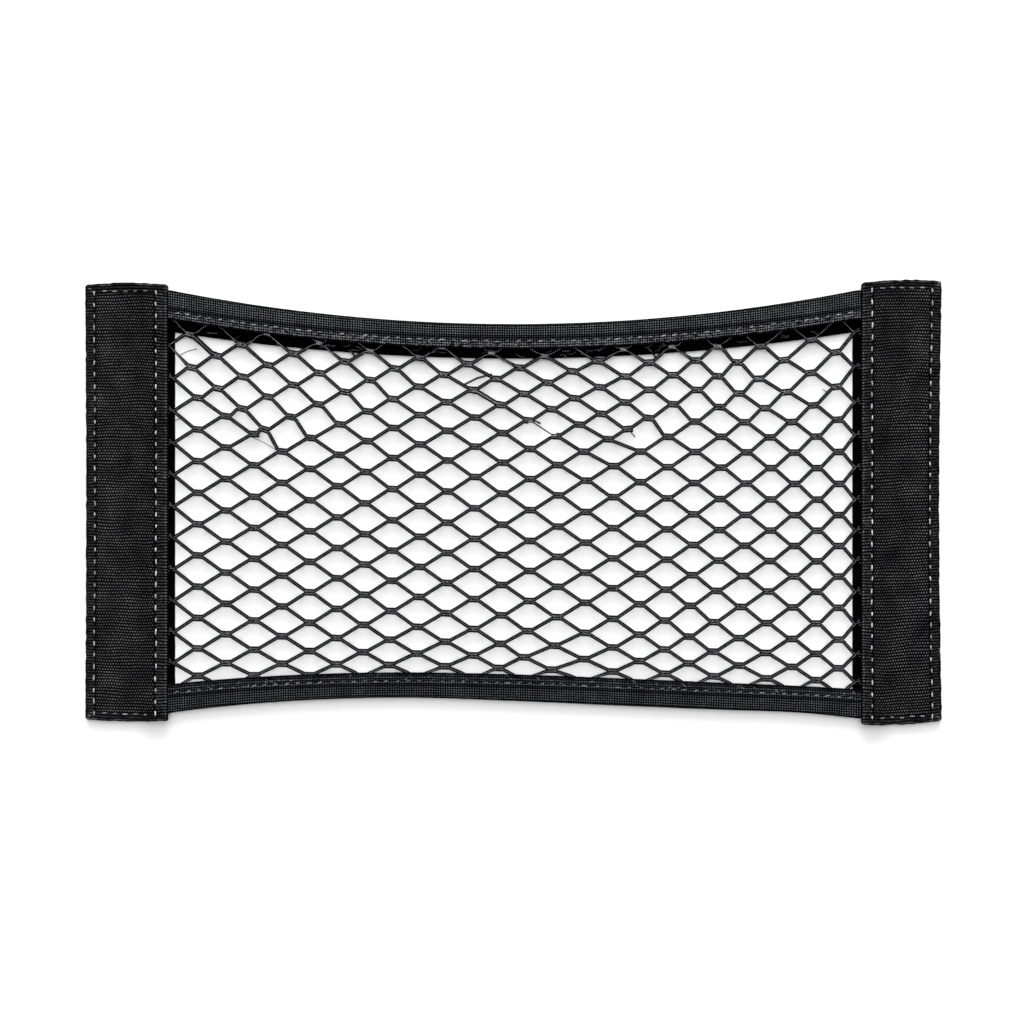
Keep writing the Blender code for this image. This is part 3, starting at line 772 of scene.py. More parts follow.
@dataclass
class Band:
    """A cloth band over one end, its hem turned under on three sides, with a plain strip behind.

    Its sums are done as on a right-hand band, and side turns them over.

    Attributes:
        name: Left or right.
        side: -1 on the left and 1 on the right.
        inner: Distance of its inner edge from the pocket's middle.
        outer: Distance of its outer edge.
        waist: How far its outer edge draws in at mid height.
        top: Its top edge.
        bottom: Its bottom edge.
        strip_shows: How far the strip behind reaches in past the inner edge.
        seams: Distance of the stitches from each edge.
        puckers: Its hollows.
        past_stitches: How far the hem runs on past its stitches.
        strip_corner: Width and height of the slant cut off the strip's inner corners.
        corner_cut: How far a corner is rounded off; corner_reach is where that starts.
        rim_low: Height of the foot of the hem's rim.
        rim_waver: How far the rim strays; rim_pale is how light it is, dark with painted shade.
        step_across: Distance between modelled points; step_along likewise.
        pitch: Distance from stitch to stitch.
        stitch_long: Length of a stitch.
    """
    name: str
    side: int
    inner: float
    outer: float
    waist: float
    top: BandEnd
    bottom: BandEnd
    strip_shows: float
    seams: Sides
    puckers: tuple[Pucker, ...]
    past_stitches: float = 1.5
    strip_corner: Place = (7.0, 9.0)
    corner_cut: float = 0.45
    corner_reach: float = 1.5
    rim_low: float = 0.4
    rim_waver: float = 0.45
    rim_pale: float = 0.12
    step_across: float = 1.15
    step_along: float = 1.3
    pitch: float = 6.5
    stitch_long: float = 3.2

    def ends(self, x: float) -> Place:
        """Heights of its bottom and top edges at X."""
        share = max(0.0, min(1.0, (x - self.inner) / (self.outer - self.inner)))
        return self.bottom.at(share), self.top.at(share)

    def inside(self, x: float, y: float) -> Sides:
        """How far a place lies inside each edge."""
        bottom, top = self.ends(x)
        waist = self.waist * math.cos(math.pi * y / BAND_TALL)
        return Sides(self.outer - waist - x, top - y, y - bottom, x - self.inner)

    def past_seams(self, x: float, y: float) -> Sides:
        """How far a place lies inside each line of stitches, below zero in a hem."""
        return Sides(*(far - seam for far, seam in zip(self.inside(x, y), self.seams)))

    def place(self, across: float, along: float, inset: float = 0.0) -> Place:
        """Place of a point of the band's grid, given as shares of its width and height."""
        inner, outer = self.inner + inset, self.outer - self.waist * math.sin(math.pi * along) - inset
        x = inner + (outer - inner) * across
        bottom, top = self.ends(x)
        y = bottom + inset + (top - bottom - 2 * inset) * along
        wide, tall = self.outer - self.inner, self.top.inner - self.bottom.inner
        from_end = max(0.0, 1 - min(along, 1 - along) * tall / self.corner_reach)
        cut_out, cut_in = (self.corner_cut * max(0.0, 1 - share * wide / self.corner_reach) * from_end
                           for share in (1 - across, across))
        waver = self.rim_waver * stir(x, y, 3.6, 3.6, 6.0 * self.side)
        x += waver * (ramp(across, 0.93, 1.0) + 0.5 * ramp(across, 0.07, 0.0))
        y += waver * (ramp(along, 0.985, 1.0) + ramp(along, 0.015, 0.0))
        return x - cut_out + cut_in, y - math.copysign(cut_out + cut_in, along - 0.5)

    def height(self, x: float, y: float) -> float:
        """Height of the cloth's upper side.

        Args:
            x: Distance from the pocket's middle.
            y: Height on the pocket.

        Returns:
            The height in millimetres.
        """
        inside, past = self.inside(x, y), self.past_seams(x, y)
        crest = NET_HIGH + GAP + ramp(abs(y), 86.0, 99.0) * (TAPE_THICK + GAP)
        in_panel = math.prod(ramp(far, -0.3, 1.8) for far in past[:3])
        panel = STRIP_THICK + GAP + 0.7 + 0.5 * (1 - in_panel)
        for pucker in self.puckers:
            off = (y - pucker.up - pucker.lean * inside.inner) / pucker.half_wide
            panel -= pucker.depth * bell(off, 1.0) * in_panel
        height = crest + (panel - crest) * ramp(inside.inner, 9.5, 19.5) + CLOTH_THICK
        slack = ramp(inside.inner, 0.0, self.seams.inner) * in_panel
        height += 0.34 * stir(x, y, 21.0, 5.2, 3.0 * self.side) * slack
        height += 0.16 * stir(x, y, 7.0, 2.9, 9.0 * self.side) * slack
        for off, along in zip(past, (y, x, x, y)):
            height -= dent(off, along, self.pitch, 0.34, 0.95)
        height += 0.12 * stir(x, y, 2.2, 2.2, 5.0 * self.side) * (min(past) < -0.5)
        near_end = min(inside.top, inside.bottom)
        if max(inside.outer, near_end) < 5.0:
            height += 0.28 * bell(inside.outer - near_end, 0.7)
        return height

    def paleness(self, x: float, y: float) -> float:
        """How light the threads are: dim in the three hems, with painted highlights along the fold of the
        inner edge, along the rolled top and bottom edges and on the mitre creases, and painted shade at the
        very edge.
        """
        inside, outer = self.inside(x, y), self.outer - x
        near_end = min(inside.top, inside.bottom)
        hem = ramp(min(self.past_seams(x, y)), 0.3, -0.5)
        light = 1 + (0.62 - 1) * hem
        if inside.inner < self.seams.inner + 1:
            # Painted highlight along the fold of the inner edge
            light = 1 + (0.7 - 1) * hem + 1.6 * bell(inside.inner - 1.35, 0.4)
        if near_end < min(inside.inner, outer):
            # Painted highlight along the rolled top and bottom edges
            light = 1 + (0.35 - 1) * hem + 1.1 * bell(near_end - 1.2, 0.4)
        if outer < self.seams.outer and near_end < self.seams.top:
            # Painted highlight on the mitre crease at the outer corners
            light += 3.0 * bell(outer - near_end, 0.8)
        # Darker near the inner edge, outside the hems
        inner_dimming = 0.72 + 0.28 * ramp(inside.inner, 6.0, 30.0)
        worn = 1 + 0.5 * stir(x, y, 9.0, 13.0, 7.0 * self.side)
        worn += 0.9 * hem * stir(x, y, 2.2, 1.9, 4.0 * self.side)
        # The last ramp paints shade on the cloth's very edge
        return light * max(0.1, worn) * (inner_dimming if hem < 0.5 else 1.0) * ramp(min(inside), 0.4, 1.2)

    @staticmethod
    def lines(long: float, step: float) -> list[float]:
        """Shares of a length at even steps, with closer lines at both ends."""
        fine = [0.0, 0.35, 0.8, 1.3, 1.9, 2.6]
        count = round((long - 2 * fine[-1]) / step)
        even = [fine[-1] + (long - 2 * fine[-1]) * k / count for k in range(1, count)]
        return [line / long for line in fine + even + [long - line for line in reversed(fine)]]

    def cloth(self) -> bpy.types.Object:
        """Drape the front cloth, turn its hem down on three sides, and dress it."""
        piece = Piece()
        across = self.lines(self.outer - self.inner, self.step_across)
        along = self.lines(self.top.inner - self.bottom.inner, self.step_along)
        columns, rows = len(across) - 1, len(along) - 1

        def lay(c: int, r: int, inset: float, height: Callable[[float], float], past: float = 0.0,
                pale: float | None = None) -> int:
            """Lay one point of the cloth, whose rows of weave wave a little.

            Args:
                c: Its column.
                r: Its row.
                inset: How far the grid is drawn in.
                height: Gives its height from the upper side's.
                past: Its distance round the rim, along the weave.
                pale: How light it is, unless that follows from its place.

            Returns:
                Its number.
            """
            x, y = self.place(across[c], along[r], inset)
            down = along[r] * BAND_TALL + past
            wave = 0.9 * stir(x, down, 17.0, 11.0, 2.0 * self.side)
            wave *= ramp(min(along[r], 1 - along[r]), 0.0, 0.05)
            return piece.point((self.side * x, y, height(self.height(x, y))), (x - self.inner, down + wave),
                               self.paleness(x, y) if pale is None else pale, min(self.past_seams(x, y)))

        upper, under = ([[lay(c, r, inset, lambda top: top - drop) for r in range(rows + 1)]
                         for c in range(columns + 1)] for inset, drop in ((0.75, 0.0), (1.15, CLOTH_THICK)))
        for grid in (upper, under):
            piece.skin(grid, closed=False)
        edge = ([(c, 0) for c in range(columns)] + [(columns, r) for r in range(rows)]
                + [(c, rows) for c in range(columns, 0, -1)] + [(0, r) for r in range(rows, 0, -1)])

        def rim(inset: float, drop: float | None = None) -> list[int]:
            """Run points round the edge, a drop below the upper side, or without one at the rim's foot."""
            past = drop or 0.0

            def height(c: int, top: float) -> float:
                """Height of the rim, which has its foot under the cloth on the inner side."""
                foot = self.rim_low if c else top - CLOTH_THICK
                return foot if drop is None else max(foot + 0.05, top - drop)

            # The rim's points are darkened by painted shade along the band's edge
            return [lay(c, r, inset, partial(height, c), past if r in (0, rows) else 0.0, self.rim_pale)
                    for c, r in edge]

        piece.skin([[upper[c][r] for c, r in edge], rim(0.32, 0.12), rim(0.06, 0.42), rim(0.0, 0.85),
                    rim(0.05), rim(1.15), [under[c][r] for c, r in edge]])
        obj = piece.build(self.name + "_band_cloth", (BAND,), 50.0)
        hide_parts(self.name + "_band_front")
        return obj

    def back_strip(self) -> bpy.types.Object:
        """Cut the plain strip behind the band, with its edges eased."""
        piece, rings, rows = Piece(), [], 60
        cut_wide, cut_high = self.strip_corner
        for ease, z in ((0.35, 0.0), (0.0, 0.35), (0.0, STRIP_THICK - 0.35), (0.35, STRIP_THICK)):
            inset = CLOTH_THICK + GAP + ease
            low, high = self.bottom.inner + inset, self.top.inner - inset
            ring = []
            for r in range(rows + 1):
                y = low + (high - low) * r / rows
                x = self.inner - self.strip_shows + ease + 0.12 * stir(y, 1.0, 4.0, 1.0, self.side)
                from_end = min(y - low, high - y) + ease
                ring.append((x + cut_wide * max(0.0, 1 - from_end / cut_high), y))
            for r in range(rows, -1, -1):
                outer = self.outer - self.waist * math.sin(math.pi * r / rows) - inset
                bottom, top = self.ends(outer)
                ring.append((outer, bottom + inset + (top - bottom - 2 * inset) * r / rows))
            rings.append([piece.point((self.side * x, y, z), (x, y)) for x, y in ring])
        piece.skin(rings)
        for ring in (rings[0], rings[-1]):
            for k in range(len(ring) // 2 - 1):
                piece.face((ring[k], ring[k + 1], ring[-2 - k], ring[-1 - k]))
        obj = piece.build(self.name + "_band_strip", (STRIP,))
        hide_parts(self.name + "_band_back")
        return obj

    def cloth_flat(self) -> Place:
        """Flat size of the front cloth, with a hem turned under on three sides to just past its stitches."""
        ends = self.seams.top + self.seams.bottom + 2 * self.past_stitches
        return (self.outer - self.inner + self.seams.outer + self.past_stitches,
                self.top.inner - self.bottom.inner + ends)

    def strip_flat(self) -> Place:
        """Flat size of the strip behind, which has no hem."""
        inset = CLOTH_THICK + GAP
        return (self.outer - inset - self.inner + self.strip_shows,
                self.top.inner - self.bottom.inner - 2 * inset)

    def stitches(self) -> bpy.types.Object:
        """Sew round the band: down both long sides and across the top and bottom hems."""
        sewing = Sewing()
        rng = random.Random(self.name)

        def sew(x: float, y: float, turn: float, light: float) -> None:
            """Put one stitch on the cloth."""
            x += rng.uniform(-0.2, 0.2)
            y += rng.uniform(-0.3, 0.3)
            sewing.stitch((self.side * x, y, self.height(x, y) + 0.16), turn + rng.uniform(-0.10, 0.10),
                          self.stitch_long * rng.uniform(0.7, 1.15), light * rng.uniform(0.45, 1.1))

        low, high = self.bottom.inner + self.seams.bottom, self.top.inner - self.seams.top
        first, last = self.inner + self.seams.inner, self.outer - self.seams.outer
        count = int((high - low) / self.pitch)
        for k in range(count + 1):
            y = low + (high - low) * k / count
            sew(first, y, math.pi / 2, 1.7)
            sew(last - self.waist * math.cos(math.pi * y / BAND_TALL), y, math.pi / 2, 1.15)
        count = int((last - first) / (self.pitch * 0.85))
        for k in range(1, count):
            x = first + (last - first) * k / count
            bottom, top = self.ends(x)
            sew(x, top - self.seams.top, 0.0, 0.55)
            sew(x, bottom + self.seams.bottom, 0.0, 0.55)
        return sewing.finish(self.name + "_band_stitches")

    def make(self) -> None:
        """Cut and sew the band and its strip, and say how large they are laid flat."""
        strip = self.back_strip()
        cloth = self.cloth()
        stitches = self.stitches()
        wide, tall = self.cloth_flat()
        strip_wide, strip_tall = self.strip_flat()
        log.info("%s band: cloth %.1f x %.1f mm, strip %.1f x %.1f mm", self.name, wide, tall, strip_wide,
                 strip_tall)


LEFT_BAND = Band(
    "left", -1, inner=196.9, outer=244.6, waist=0.5, top=BandEnd(124.1, 124.1, 1.2),
    bottom=BandEnd(-124.8, -124.2, -0.8), strip_shows=3.3, seams=Sides(5.0, 4.7, 4.2, 7.1),
    puckers=(Pucker(72, 0.30, 7, 0.05), Pucker(38, 0.50, 6, 0.10), Pucker(15, 0.55, 5, -0.06),
             Pucker(-16, 0.25, 7, 0.04), Pucker(-44, 0.50, 6, -0.08), Pucker(-76, 0.30, 8, 0.05),
             Pucker(-99, 0.45, 5, 0.06)))
RIGHT_BAND = Band(
    "right", 1, inner=198.2, outer=244.64, waist=1.5, top=BandEnd(124.85, 126.25, 1.4),
    bottom=BandEnd(-127.0, -124.9, -1.2), strip_shows=4.3, seams=Sides(5.4, 4.4, 4.2, 6.3),
    puckers=(Pucker(98, 0.30, 7, -0.05), Pucker(74, 0.50, 6, -0.14), Pucker(30, 0.55, 6, 0.12),
             Pucker(2, 0.25, 8, -0.05), Pucker(-33, 0.50, 5, 0.08), Pucker(-50, 0.45, 5, -0.10),
             Pucker(-88, 0.30, 8, 0.06)))


# Net

class Column(NamedTuple):
    """Where a column of knots stands."""
    number: int
    across: float


class Row(NamedTuple):
    """Height of a row of knots at X = 0, its slope, and its curve per millimetre of X squared."""
    number: int
    up: float
    tilt: float
    bow: float


class ShortStrand(NamedTuple):
    """A falling strand that stops part of the way, and how the net closes up below it."""
    line: float
    last_crossing: int
    share_up: float
    reach_down: float
    reach_up: float
    ease: float


class Tug(NamedTuple):
    """A place where the net is tugged out of line."""
    across: float
    up: float
    reach: float
    pull_across: float
    pull_up: float


class Wisp(NamedTuple):
    """A stray end of yarn: its path, its width against a strand's, and how light it is."""
    path: tuple[Place, ...]
    slim: float
    light_scale: float


@dataclass
class Net:
    """The knotted net: two-ply cords that run side by side through each knot and part again.

    Attributes:
        columns: Columns of knots, between which the others are read.
        rows: Rows of knots likewise.
        short_strands: Strands that stop inside the net.
        tugs: Where it is out of line.
        lines: Numbers of the falling strands; crossings are those of their knots.
        columns_made: First and last column of knots made; rows_made likewise.
        strand_half: Half the width of a strand; cord_high is half its height.
        knot_arm: From a knot's middle to where its cords part; knot_offset is half the distance between them.
        bend: Length of the bend where a cord leaves a knot.
        under_tape: How far the net runs on under a tape; under_band likewise.
        margin: A knot is tied if it lies this far inside the net's end.
        tied_to: Knots farther out than this show no loops.
        fine_step: Distance between the points of a strand that runs over the dark edges.
        slimmer: How much slimmer it is there; paler and astray are how much lighter and how far astray.
        loose_ends: How many short ends of yarn lie on the top tape's inside, up to loose_to on either side.
        spread_from: Knots from here to spread_to lie on a back strip, where their cords cross and spread.
        quirks: Strands that differ, by their left knot and whether they rise: width and lightness.
        wisps: Stray ends of yarn.
    """
    columns: tuple[Column, ...] = (
        Column(-14, -228.0), Column(-12, -196.3), Column(-8, -132.1), Column(-4, -69.1), Column(0, -6.6),
        Column(4, 56.9), Column(8, 117.8), Column(11, 160.6), Column(13, 185.8), Column(15, 209.0))
    rows: tuple[Row, ...] = (
        Row(-12, 118.0, -0.034, 0.00050), Row(-8, 87.5, -0.034, 0.00042), Row(-4, 55.5, -0.034, 0.00022),
        Row(0, 22.0, -0.036, 0.00012), Row(4, -13.3, -0.035, 0.00010), Row(8, -47.6, -0.033, 0.00007),
        Row(12, -81.2, -0.033, 0.00001), Row(14, -95.0, -0.028, -0.00006), Row(16, -106.0, -0.022, -0.00012),
        Row(18, -117.0, -0.015, -0.00012))
    short_strands: tuple[ShortStrand, ...] = (
        ShortStrand(-4.5, -5, 1.0, 1.0, 6.0, 2.0), ShortStrand(3.5, 1, 0.5, 1.5, 3.0, 1.0))
    tugs: tuple[Tug, ...] = (
        Tug(148.0, 80.0, 32.0, -7.5, -3.5), Tug(125.0, -84.0, 38.0, -4.0, -0.5),
        Tug(15.0, -100.0, 22.0, -4.5, 0.0), Tug(0.0, 62.0, 50.0, 2.4, 1.1),
        Tug(-62.0, -96.0, 38.0, -1.9, 0.3), Tug(122.0, 44.0, 32.0, 1.6, 0.5),
        Tug(-92.0, 46.0, 24.0, 2.0, 0.4), Tug(62.0, 82.0, 24.0, 2.2, -2.0))
    lines: range = range(-18, 18)
    crossings: range = range(-20, 20)
    columns_made: tuple[int, int] = (-15, 16)
    rows_made: tuple[int, int] = (-14, 20)
    strand_half: float = 1.12
    cord_high: float = 0.70
    knot_arm: float = 2.8
    knot_offset: float = 0.90
    bend: float = 0.8
    under_tape: float = 4.5
    under_band: float = 5.0
    margin: float = 2.0
    tied_to: float = 192.0
    fine_step: float = 1.6
    slimmer: float = 0.58
    paler: float = 3.0
    astray: float = 0.7
    loose_ends: int = 34
    loose_to: float = 186.0
    spread_from: float = 191.5
    spread_to: float = 200.0
    quirks: dict[tuple[Key, bool], Place] = field(default_factory=lambda: {
        ((2, -1), False): (0.32, 0.5), ((-3, -9), False): (1.35, 1.3), ((2, -3), False): (1.3, 3.0)})
    wisps: tuple[Wisp, ...] = (
        Wisp(((10.6, 46.3), (13.0, 46.0), (15.4, 44.8)), 0.45, 1.5),
        Wisp(((64.6, 41.7), (67.4, 39.6), (69.4, 37.0)), 0.28, 1.0),
        Wisp(((-149.3, 37.1), (-142.4, 33.9), (-135.6, 29.7)), 0.16, 1.5),
        Wisp(((-27.9, 67.2), (-20.5, 70.8), (-12.3, 73.0)), 0.55, 2.2),
        Wisp(((-190.2, 84.0), (-185.5, 86.3), (-180.7, 87.4)), 0.22, 1.5),
        Wisp(((-193.8, 46.2), (-189.8, 47.9)), 0.2, 1.5),
        Wisp(((176.6, 64.2), (178.3, 63.1), (179.8, 63.4)), 0.2, 1.5))

    def knot_place(self, line: float, crossing: int) -> Place:
        """Place of the knot where a falling strand meets a rising one."""
        shift = 0.0
        for short in self.short_strands:
            beside = line - short.line
            below_end = short.last_crossing + 1 - crossing
            if beside == 0:
                shift += short.share_up - 0.5
            elif below_end > 0:
                grown = 1 - math.exp(-below_end / short.ease)
                if beside > 0:
                    shift += short.share_up * math.exp(-beside / short.reach_up) * grown
                else:
                    shift -= (1 - short.share_up) * math.exp(beside / short.reach_down) * grown
        column, row = line + shift + crossing, crossing - line - shift
        x = read(self.columns, "across", column)
        up, tilt, bow = (read(self.rows, name, row) for name in ("up", "tilt", "bow"))
        y = up + tilt * x + bow * x * x
        felt = [math.exp(-((x - tug.across) ** 2 + (y - tug.up) ** 2) / tug.reach ** 2) for tug in self.tugs]
        return (x + sum(f * tug.pull_across for f, tug in zip(felt, self.tugs)),
                y + sum(f * tug.pull_up for f, tug in zip(felt, self.tugs)))

    def outside(self, place: Place) -> float:
        """How far a place lies outside the window through which the floor shows."""
        x, y = place
        left, right = (band.inner - band.strip_shows for band in (LEFT_BAND, RIGHT_BAND))
        return max(-left - x, x - right, y - top_tape(x).back, bottom_tape(x).front - y)

    def beyond(self, place: Place) -> float:
        """How far a place lies past where the net ends, under the tapes and bands."""
        x, y = place
        return max(-LEFT_BAND.inner - self.under_band - x, x - RIGHT_BAND.inner - self.under_band,
                   y - top_tape(x).front - self.under_tape, bottom_tape(x).front - self.under_tape - y)

    def knots(self) -> tuple[dict[Key, Place], list[tuple[Key, Key]]]:
        """Places of the knots, and the strands that join them."""
        ends = {short.line: short.last_crossing for short in self.short_strands}
        lines = sorted([*self.lines, *ends])
        knots = {(line, crossing): self.knot_place(line, crossing)
                 for line, crossing in itertools.product(lines, self.crossings)
                 if (self.columns_made[0] <= line + crossing <= self.columns_made[1]
                     and self.rows_made[0] <= crossing - line <= self.rows_made[1]
                     and crossing <= ends.get(line, crossing))}
        strands = [((line, c), (line, c + 1)) for line, c in knots if (line, c + 1) in knots]
        for crossing in self.crossings:
            met = [(line, crossing) for line in lines if (line, crossing) in knots]
            strands += [(one, other) for one, other in itertools.pairwise(met) if other[0] - one[0] <= 1]
        return knots, strands

    @staticmethod
    def headings(knots: dict[Key, Place], strands: list[tuple[Key, Key]]) -> dict[Key, Place]:
        """Unit direction in which each knot lies, from the strands that meet in it."""
        sums = {key: [0.0, 0.0] for key in knots}
        for one, other in strands:
            dx, dy = knots[other][0] - knots[one][0], knots[other][1] - knots[one][1]
            for key in (one, other):
                sums[key][0] += dx
                sums[key][1] += dy
        return {key: unit(dx, dy) for key, (dx, dy) in sums.items()}

    def cord_path(self, one: Place, turn_one: Place, other: Place, turn_other: Place,
                  rising: bool) -> list[Place]:
        """Middle line of a strand, from the middle of one knot to the middle of the next.

        Args:
            one: The left knot's place.
            turn_one: Its direction.
            other: The right knot's place.
            turn_other: Its direction.
            rising: Whether the strand goes up to the right.

        Returns:
            Its points.
        """
        def in_knot(knot: Place, turn: Place, side: int) -> tuple[Place, Place]:
            """Where the strand starts in a knot, and where it leaves it on the given side."""
            off = self.knot_offset * side * (1 if rising else -1)
            start = (knot[0] - turn[1] * off, knot[1] + turn[0] * off)
            leave = (start[0] + side * turn[0] * self.knot_arm, start[1] + side * turn[1] * self.knot_arm)
            if self.spread_from < -side * knot[0] < self.spread_to:
                leave = (leave[0], knot[1] + 0.5 * off)
                start = (start[0], knot[1] + (2.5 if off < 0 else 0.5))
            return start, leave

        def eased(corner: Place, into: Place, out_of: Place) -> list[Place]:
            """Round a corner with three points, between the directions into and out of it."""
            return [tuple(c + reach * (t * t * o - (1 - t) ** 2 * i) for c, i, o in zip(corner, into, out_of))
                    for t in (0.25, 0.5, 0.75)]

        start, leave = in_knot(one, turn_one, 1)
        end, arrive = in_knot(other, turn_other, -1)
        heading = unit(arrive[0] - leave[0], arrive[1] - leave[1])
        reach = min(self.bend, math.dist(leave, arrive) / 3)
        return [start, *eased(leave, turn_one, heading), *eased(arrive, heading, turn_other), end]

    def section(self, scale: float) -> list[tuple[float, float, float, float]]:
        """Outline of the two plies side by side: across, up, distance round, and how light the yarn is, which
        paints a highlight along the top between the plies.
        """
        half = self.strand_half / 2
        points = []
        for lobe, turns in ((1, (-90, -30, 30, 90)), (-1, (90, 150, 210, 270))):
            for turn in turns:
                angle = math.radians(turn)
                # Painted highlight: the point on top between the plies is light, the plies' tops a little
                # darker
                worn = -0.12 if turn == 90 else 0.0
                points.append((lobe * half + half * math.cos(angle), self.cord_high * math.sin(angle), worn))
            points.append((0.0, 0.48 * self.cord_high * lobe, 0.40 if lobe == 1 else 0.0))
        return [(a * scale, u * (0.45 + 0.55 * scale), k * 0.6, worn)
                for k, (a, u, worn) in enumerate(points)]

    def strand(self, piece: Piece, path: Sequence[Place], slim: float = 1.0, light_scale: float = 1.0) -> None:
        """Lay one strand along a path, slimmer, paler and astray where it runs over the dark edges.

        Args:
            piece: Where it goes.
            path: Its middle line.
            slim: Its width against the usual.
            light_scale: How light it is against the usual, its painted highlight included.
        """
        fine = [path[0]]
        for here, there in itertools.pairwise(path):
            parts = 1
            if self.outside(there) > -1.0:
                parts = max(1, round(math.dist(here, there) / self.fine_step))
            fine += [between(here, there, k / parts) for k in range(1, parts + 1)]
        rings, travelled = [], 0.0
        for before, here, after in zip([fine[0], *fine], fine, [*fine[1:], fine[-1]]):
            dx, dy = unit(after[0] - before[0], after[1] - before[1])
            travelled += math.dist(before, here)
            over = ramp(self.outside(here), -0.5, 2.0)
            scale = (1 - self.slimmer * over) * slim
            light = (1 + self.paler * over) * light_scale
            stray = self.astray * stir(here[0], here[1], 3.7, 3.7, 1.0) * over
            x, y = here[0] - dy * stray, here[1] + dx * stray
            # worn carries the painted highlight along the strand's top
            rings.append([piece.point((x - dy * a, y + dx * a, NET_MIDDLE + u), (travelled, v), worn * light)
                          for a, u, v, worn in self.section(scale)])
        piece.skin(rings)
        piece.face(rings[0])
        piece.face(reversed(rings[-1]))

    def clip(self, path: list[Place]) -> list[Place]:
        """Cut a path off where it passes the net's end."""
        kept = []
        for here, there in itertools.pairwise([*path, path[-1]]):
            inside = self.beyond(here) <= 0
            if inside:
                kept.append(here)
            if inside != (self.beyond(there) <= 0):
                low, high = 0.0, 1.0
                for _ in range(20):
                    middle = 0.5 * (low + high)
                    same = inside == (self.beyond(between(here, there, middle)) <= 0)
                    low, high = (middle, high) if same else (low, middle)
                kept.append(between(here, there, middle))
        return kept

    def build(self) -> None:
        """Lay every strand and wrap every knot."""
        knots, strands = self.knots()
        turns = self.headings(knots, strands)
        cords, braids = Piece(), Piece()
        laid, total = 0, 0.0
        for one, other in strands:
            if min(self.beyond(knots[one]), self.beyond(knots[other])) > 0:
                continue
            rising = one[1] == other[1]
            path = self.clip(self.cord_path(knots[one], turns[one], knots[other], turns[other], rising))
            long = length(path)
            if long > 1.0:
                self.strand(cords, path, *self.quirks.get((one, rising), (1.0, 1.0)))
                laid, total = laid + 1, total + long
        joined = {(key, one[1] == other[1], side)
                  for one, other in strands for key, side in ((one, 1), (other, -1))}
        tied = {key: place for key, place in knots.items() if self.beyond(place) < -self.margin}
        for key, rising, side in itertools.product(tied, (True, False), (1, -1)):
            if (key, rising, side) not in joined:
                self.strand(cords, self.tail(tied[key], turns[key], rising, side))
        for wisp in self.wisps:
            self.strand(cords, wisp.path, wisp.slim, wisp.light_scale)
        self.stray_ends(cords)
        rng = random.Random(KNOT_SEED)
        wrapped = [key for key, place in tied.items() if abs(place[0]) < self.tied_to]
        for key in wrapped:
            self.wrap(braids, knots[key], turns[key], rng)
        cord_piece = cords.build("net_cords", (CORD,), 75.0)
        braid_piece = braids.build("net_knots", (BRAID,), 75.0)
        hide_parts("net")
        wide, tall, area = self.flat_size(total)
        log.info("net: %d strands, %d knots, %.0f mm of cord", laid, len(wrapped), total)
        log.info("net: outline %.1f x %.1f mm, cords laid flat %.0f mm2", wide, tall, area)

    def tail(self, place: Place, turn: Place, rising: bool, side: int) -> list[Place]:
        """Path of the short end of a strand that stops in a knot, out to the knot's right or left."""
        off = self.knot_offset * (1 if rising else -1) * side
        x, y = place[0] - turn[1] * off, place[1] + turn[0] * off
        return [(x + turn[0] * side * along, y + turn[1] * side * along) for along in (0.0, 1.5, 3.0)]

    def stray_ends(self, piece: Piece) -> None:
        """Curl short loose ends of yarn over the dark inside of the top tape."""
        rng = random.Random(LOOSE_SEED)
        for _ in range(self.loose_ends):
            x = rng.uniform(-self.loose_to, self.loose_to)
            y = top_tape(x).back + rng.uniform(0.6, 4.4)
            heading, path = rng.uniform(-0.5, 0.5), []
            for _ in range(4):
                path.append((x, y))
                step = rng.uniform(1.2, 2.2)
                x, y = x + step * math.cos(heading), y + step * math.sin(heading)
                heading += rng.uniform(-0.7, 0.7)
            self.strand(piece, path, rng.uniform(0.5, 0.8), rng.uniform(0.5, 1.1))

    def flat_size(self, total: float) -> tuple[float, float, float]:
        """Work out the net's flat outline, and the area of its cords alone.

        Args:
            total: Length of all the cord in the net.

        Returns:
            Width and mean height of the outline, and the cords' length times half their girth.
        """
        wide = LEFT_BAND.inner + RIGHT_BAND.inner + 2 * self.under_band
        heights = [top_tape(x).front - bottom_tape(x).front + 2 * self.under_tape
                   for x in np.linspace(-LEFT_BAND.inner, RIGHT_BAND.inner, 41)]
        outline = [(a, u) for a, u, *_ in self.section(1.0)]
        return wide, sum(heights) / len(heights), total * length([*outline, outline[0]]) / 2

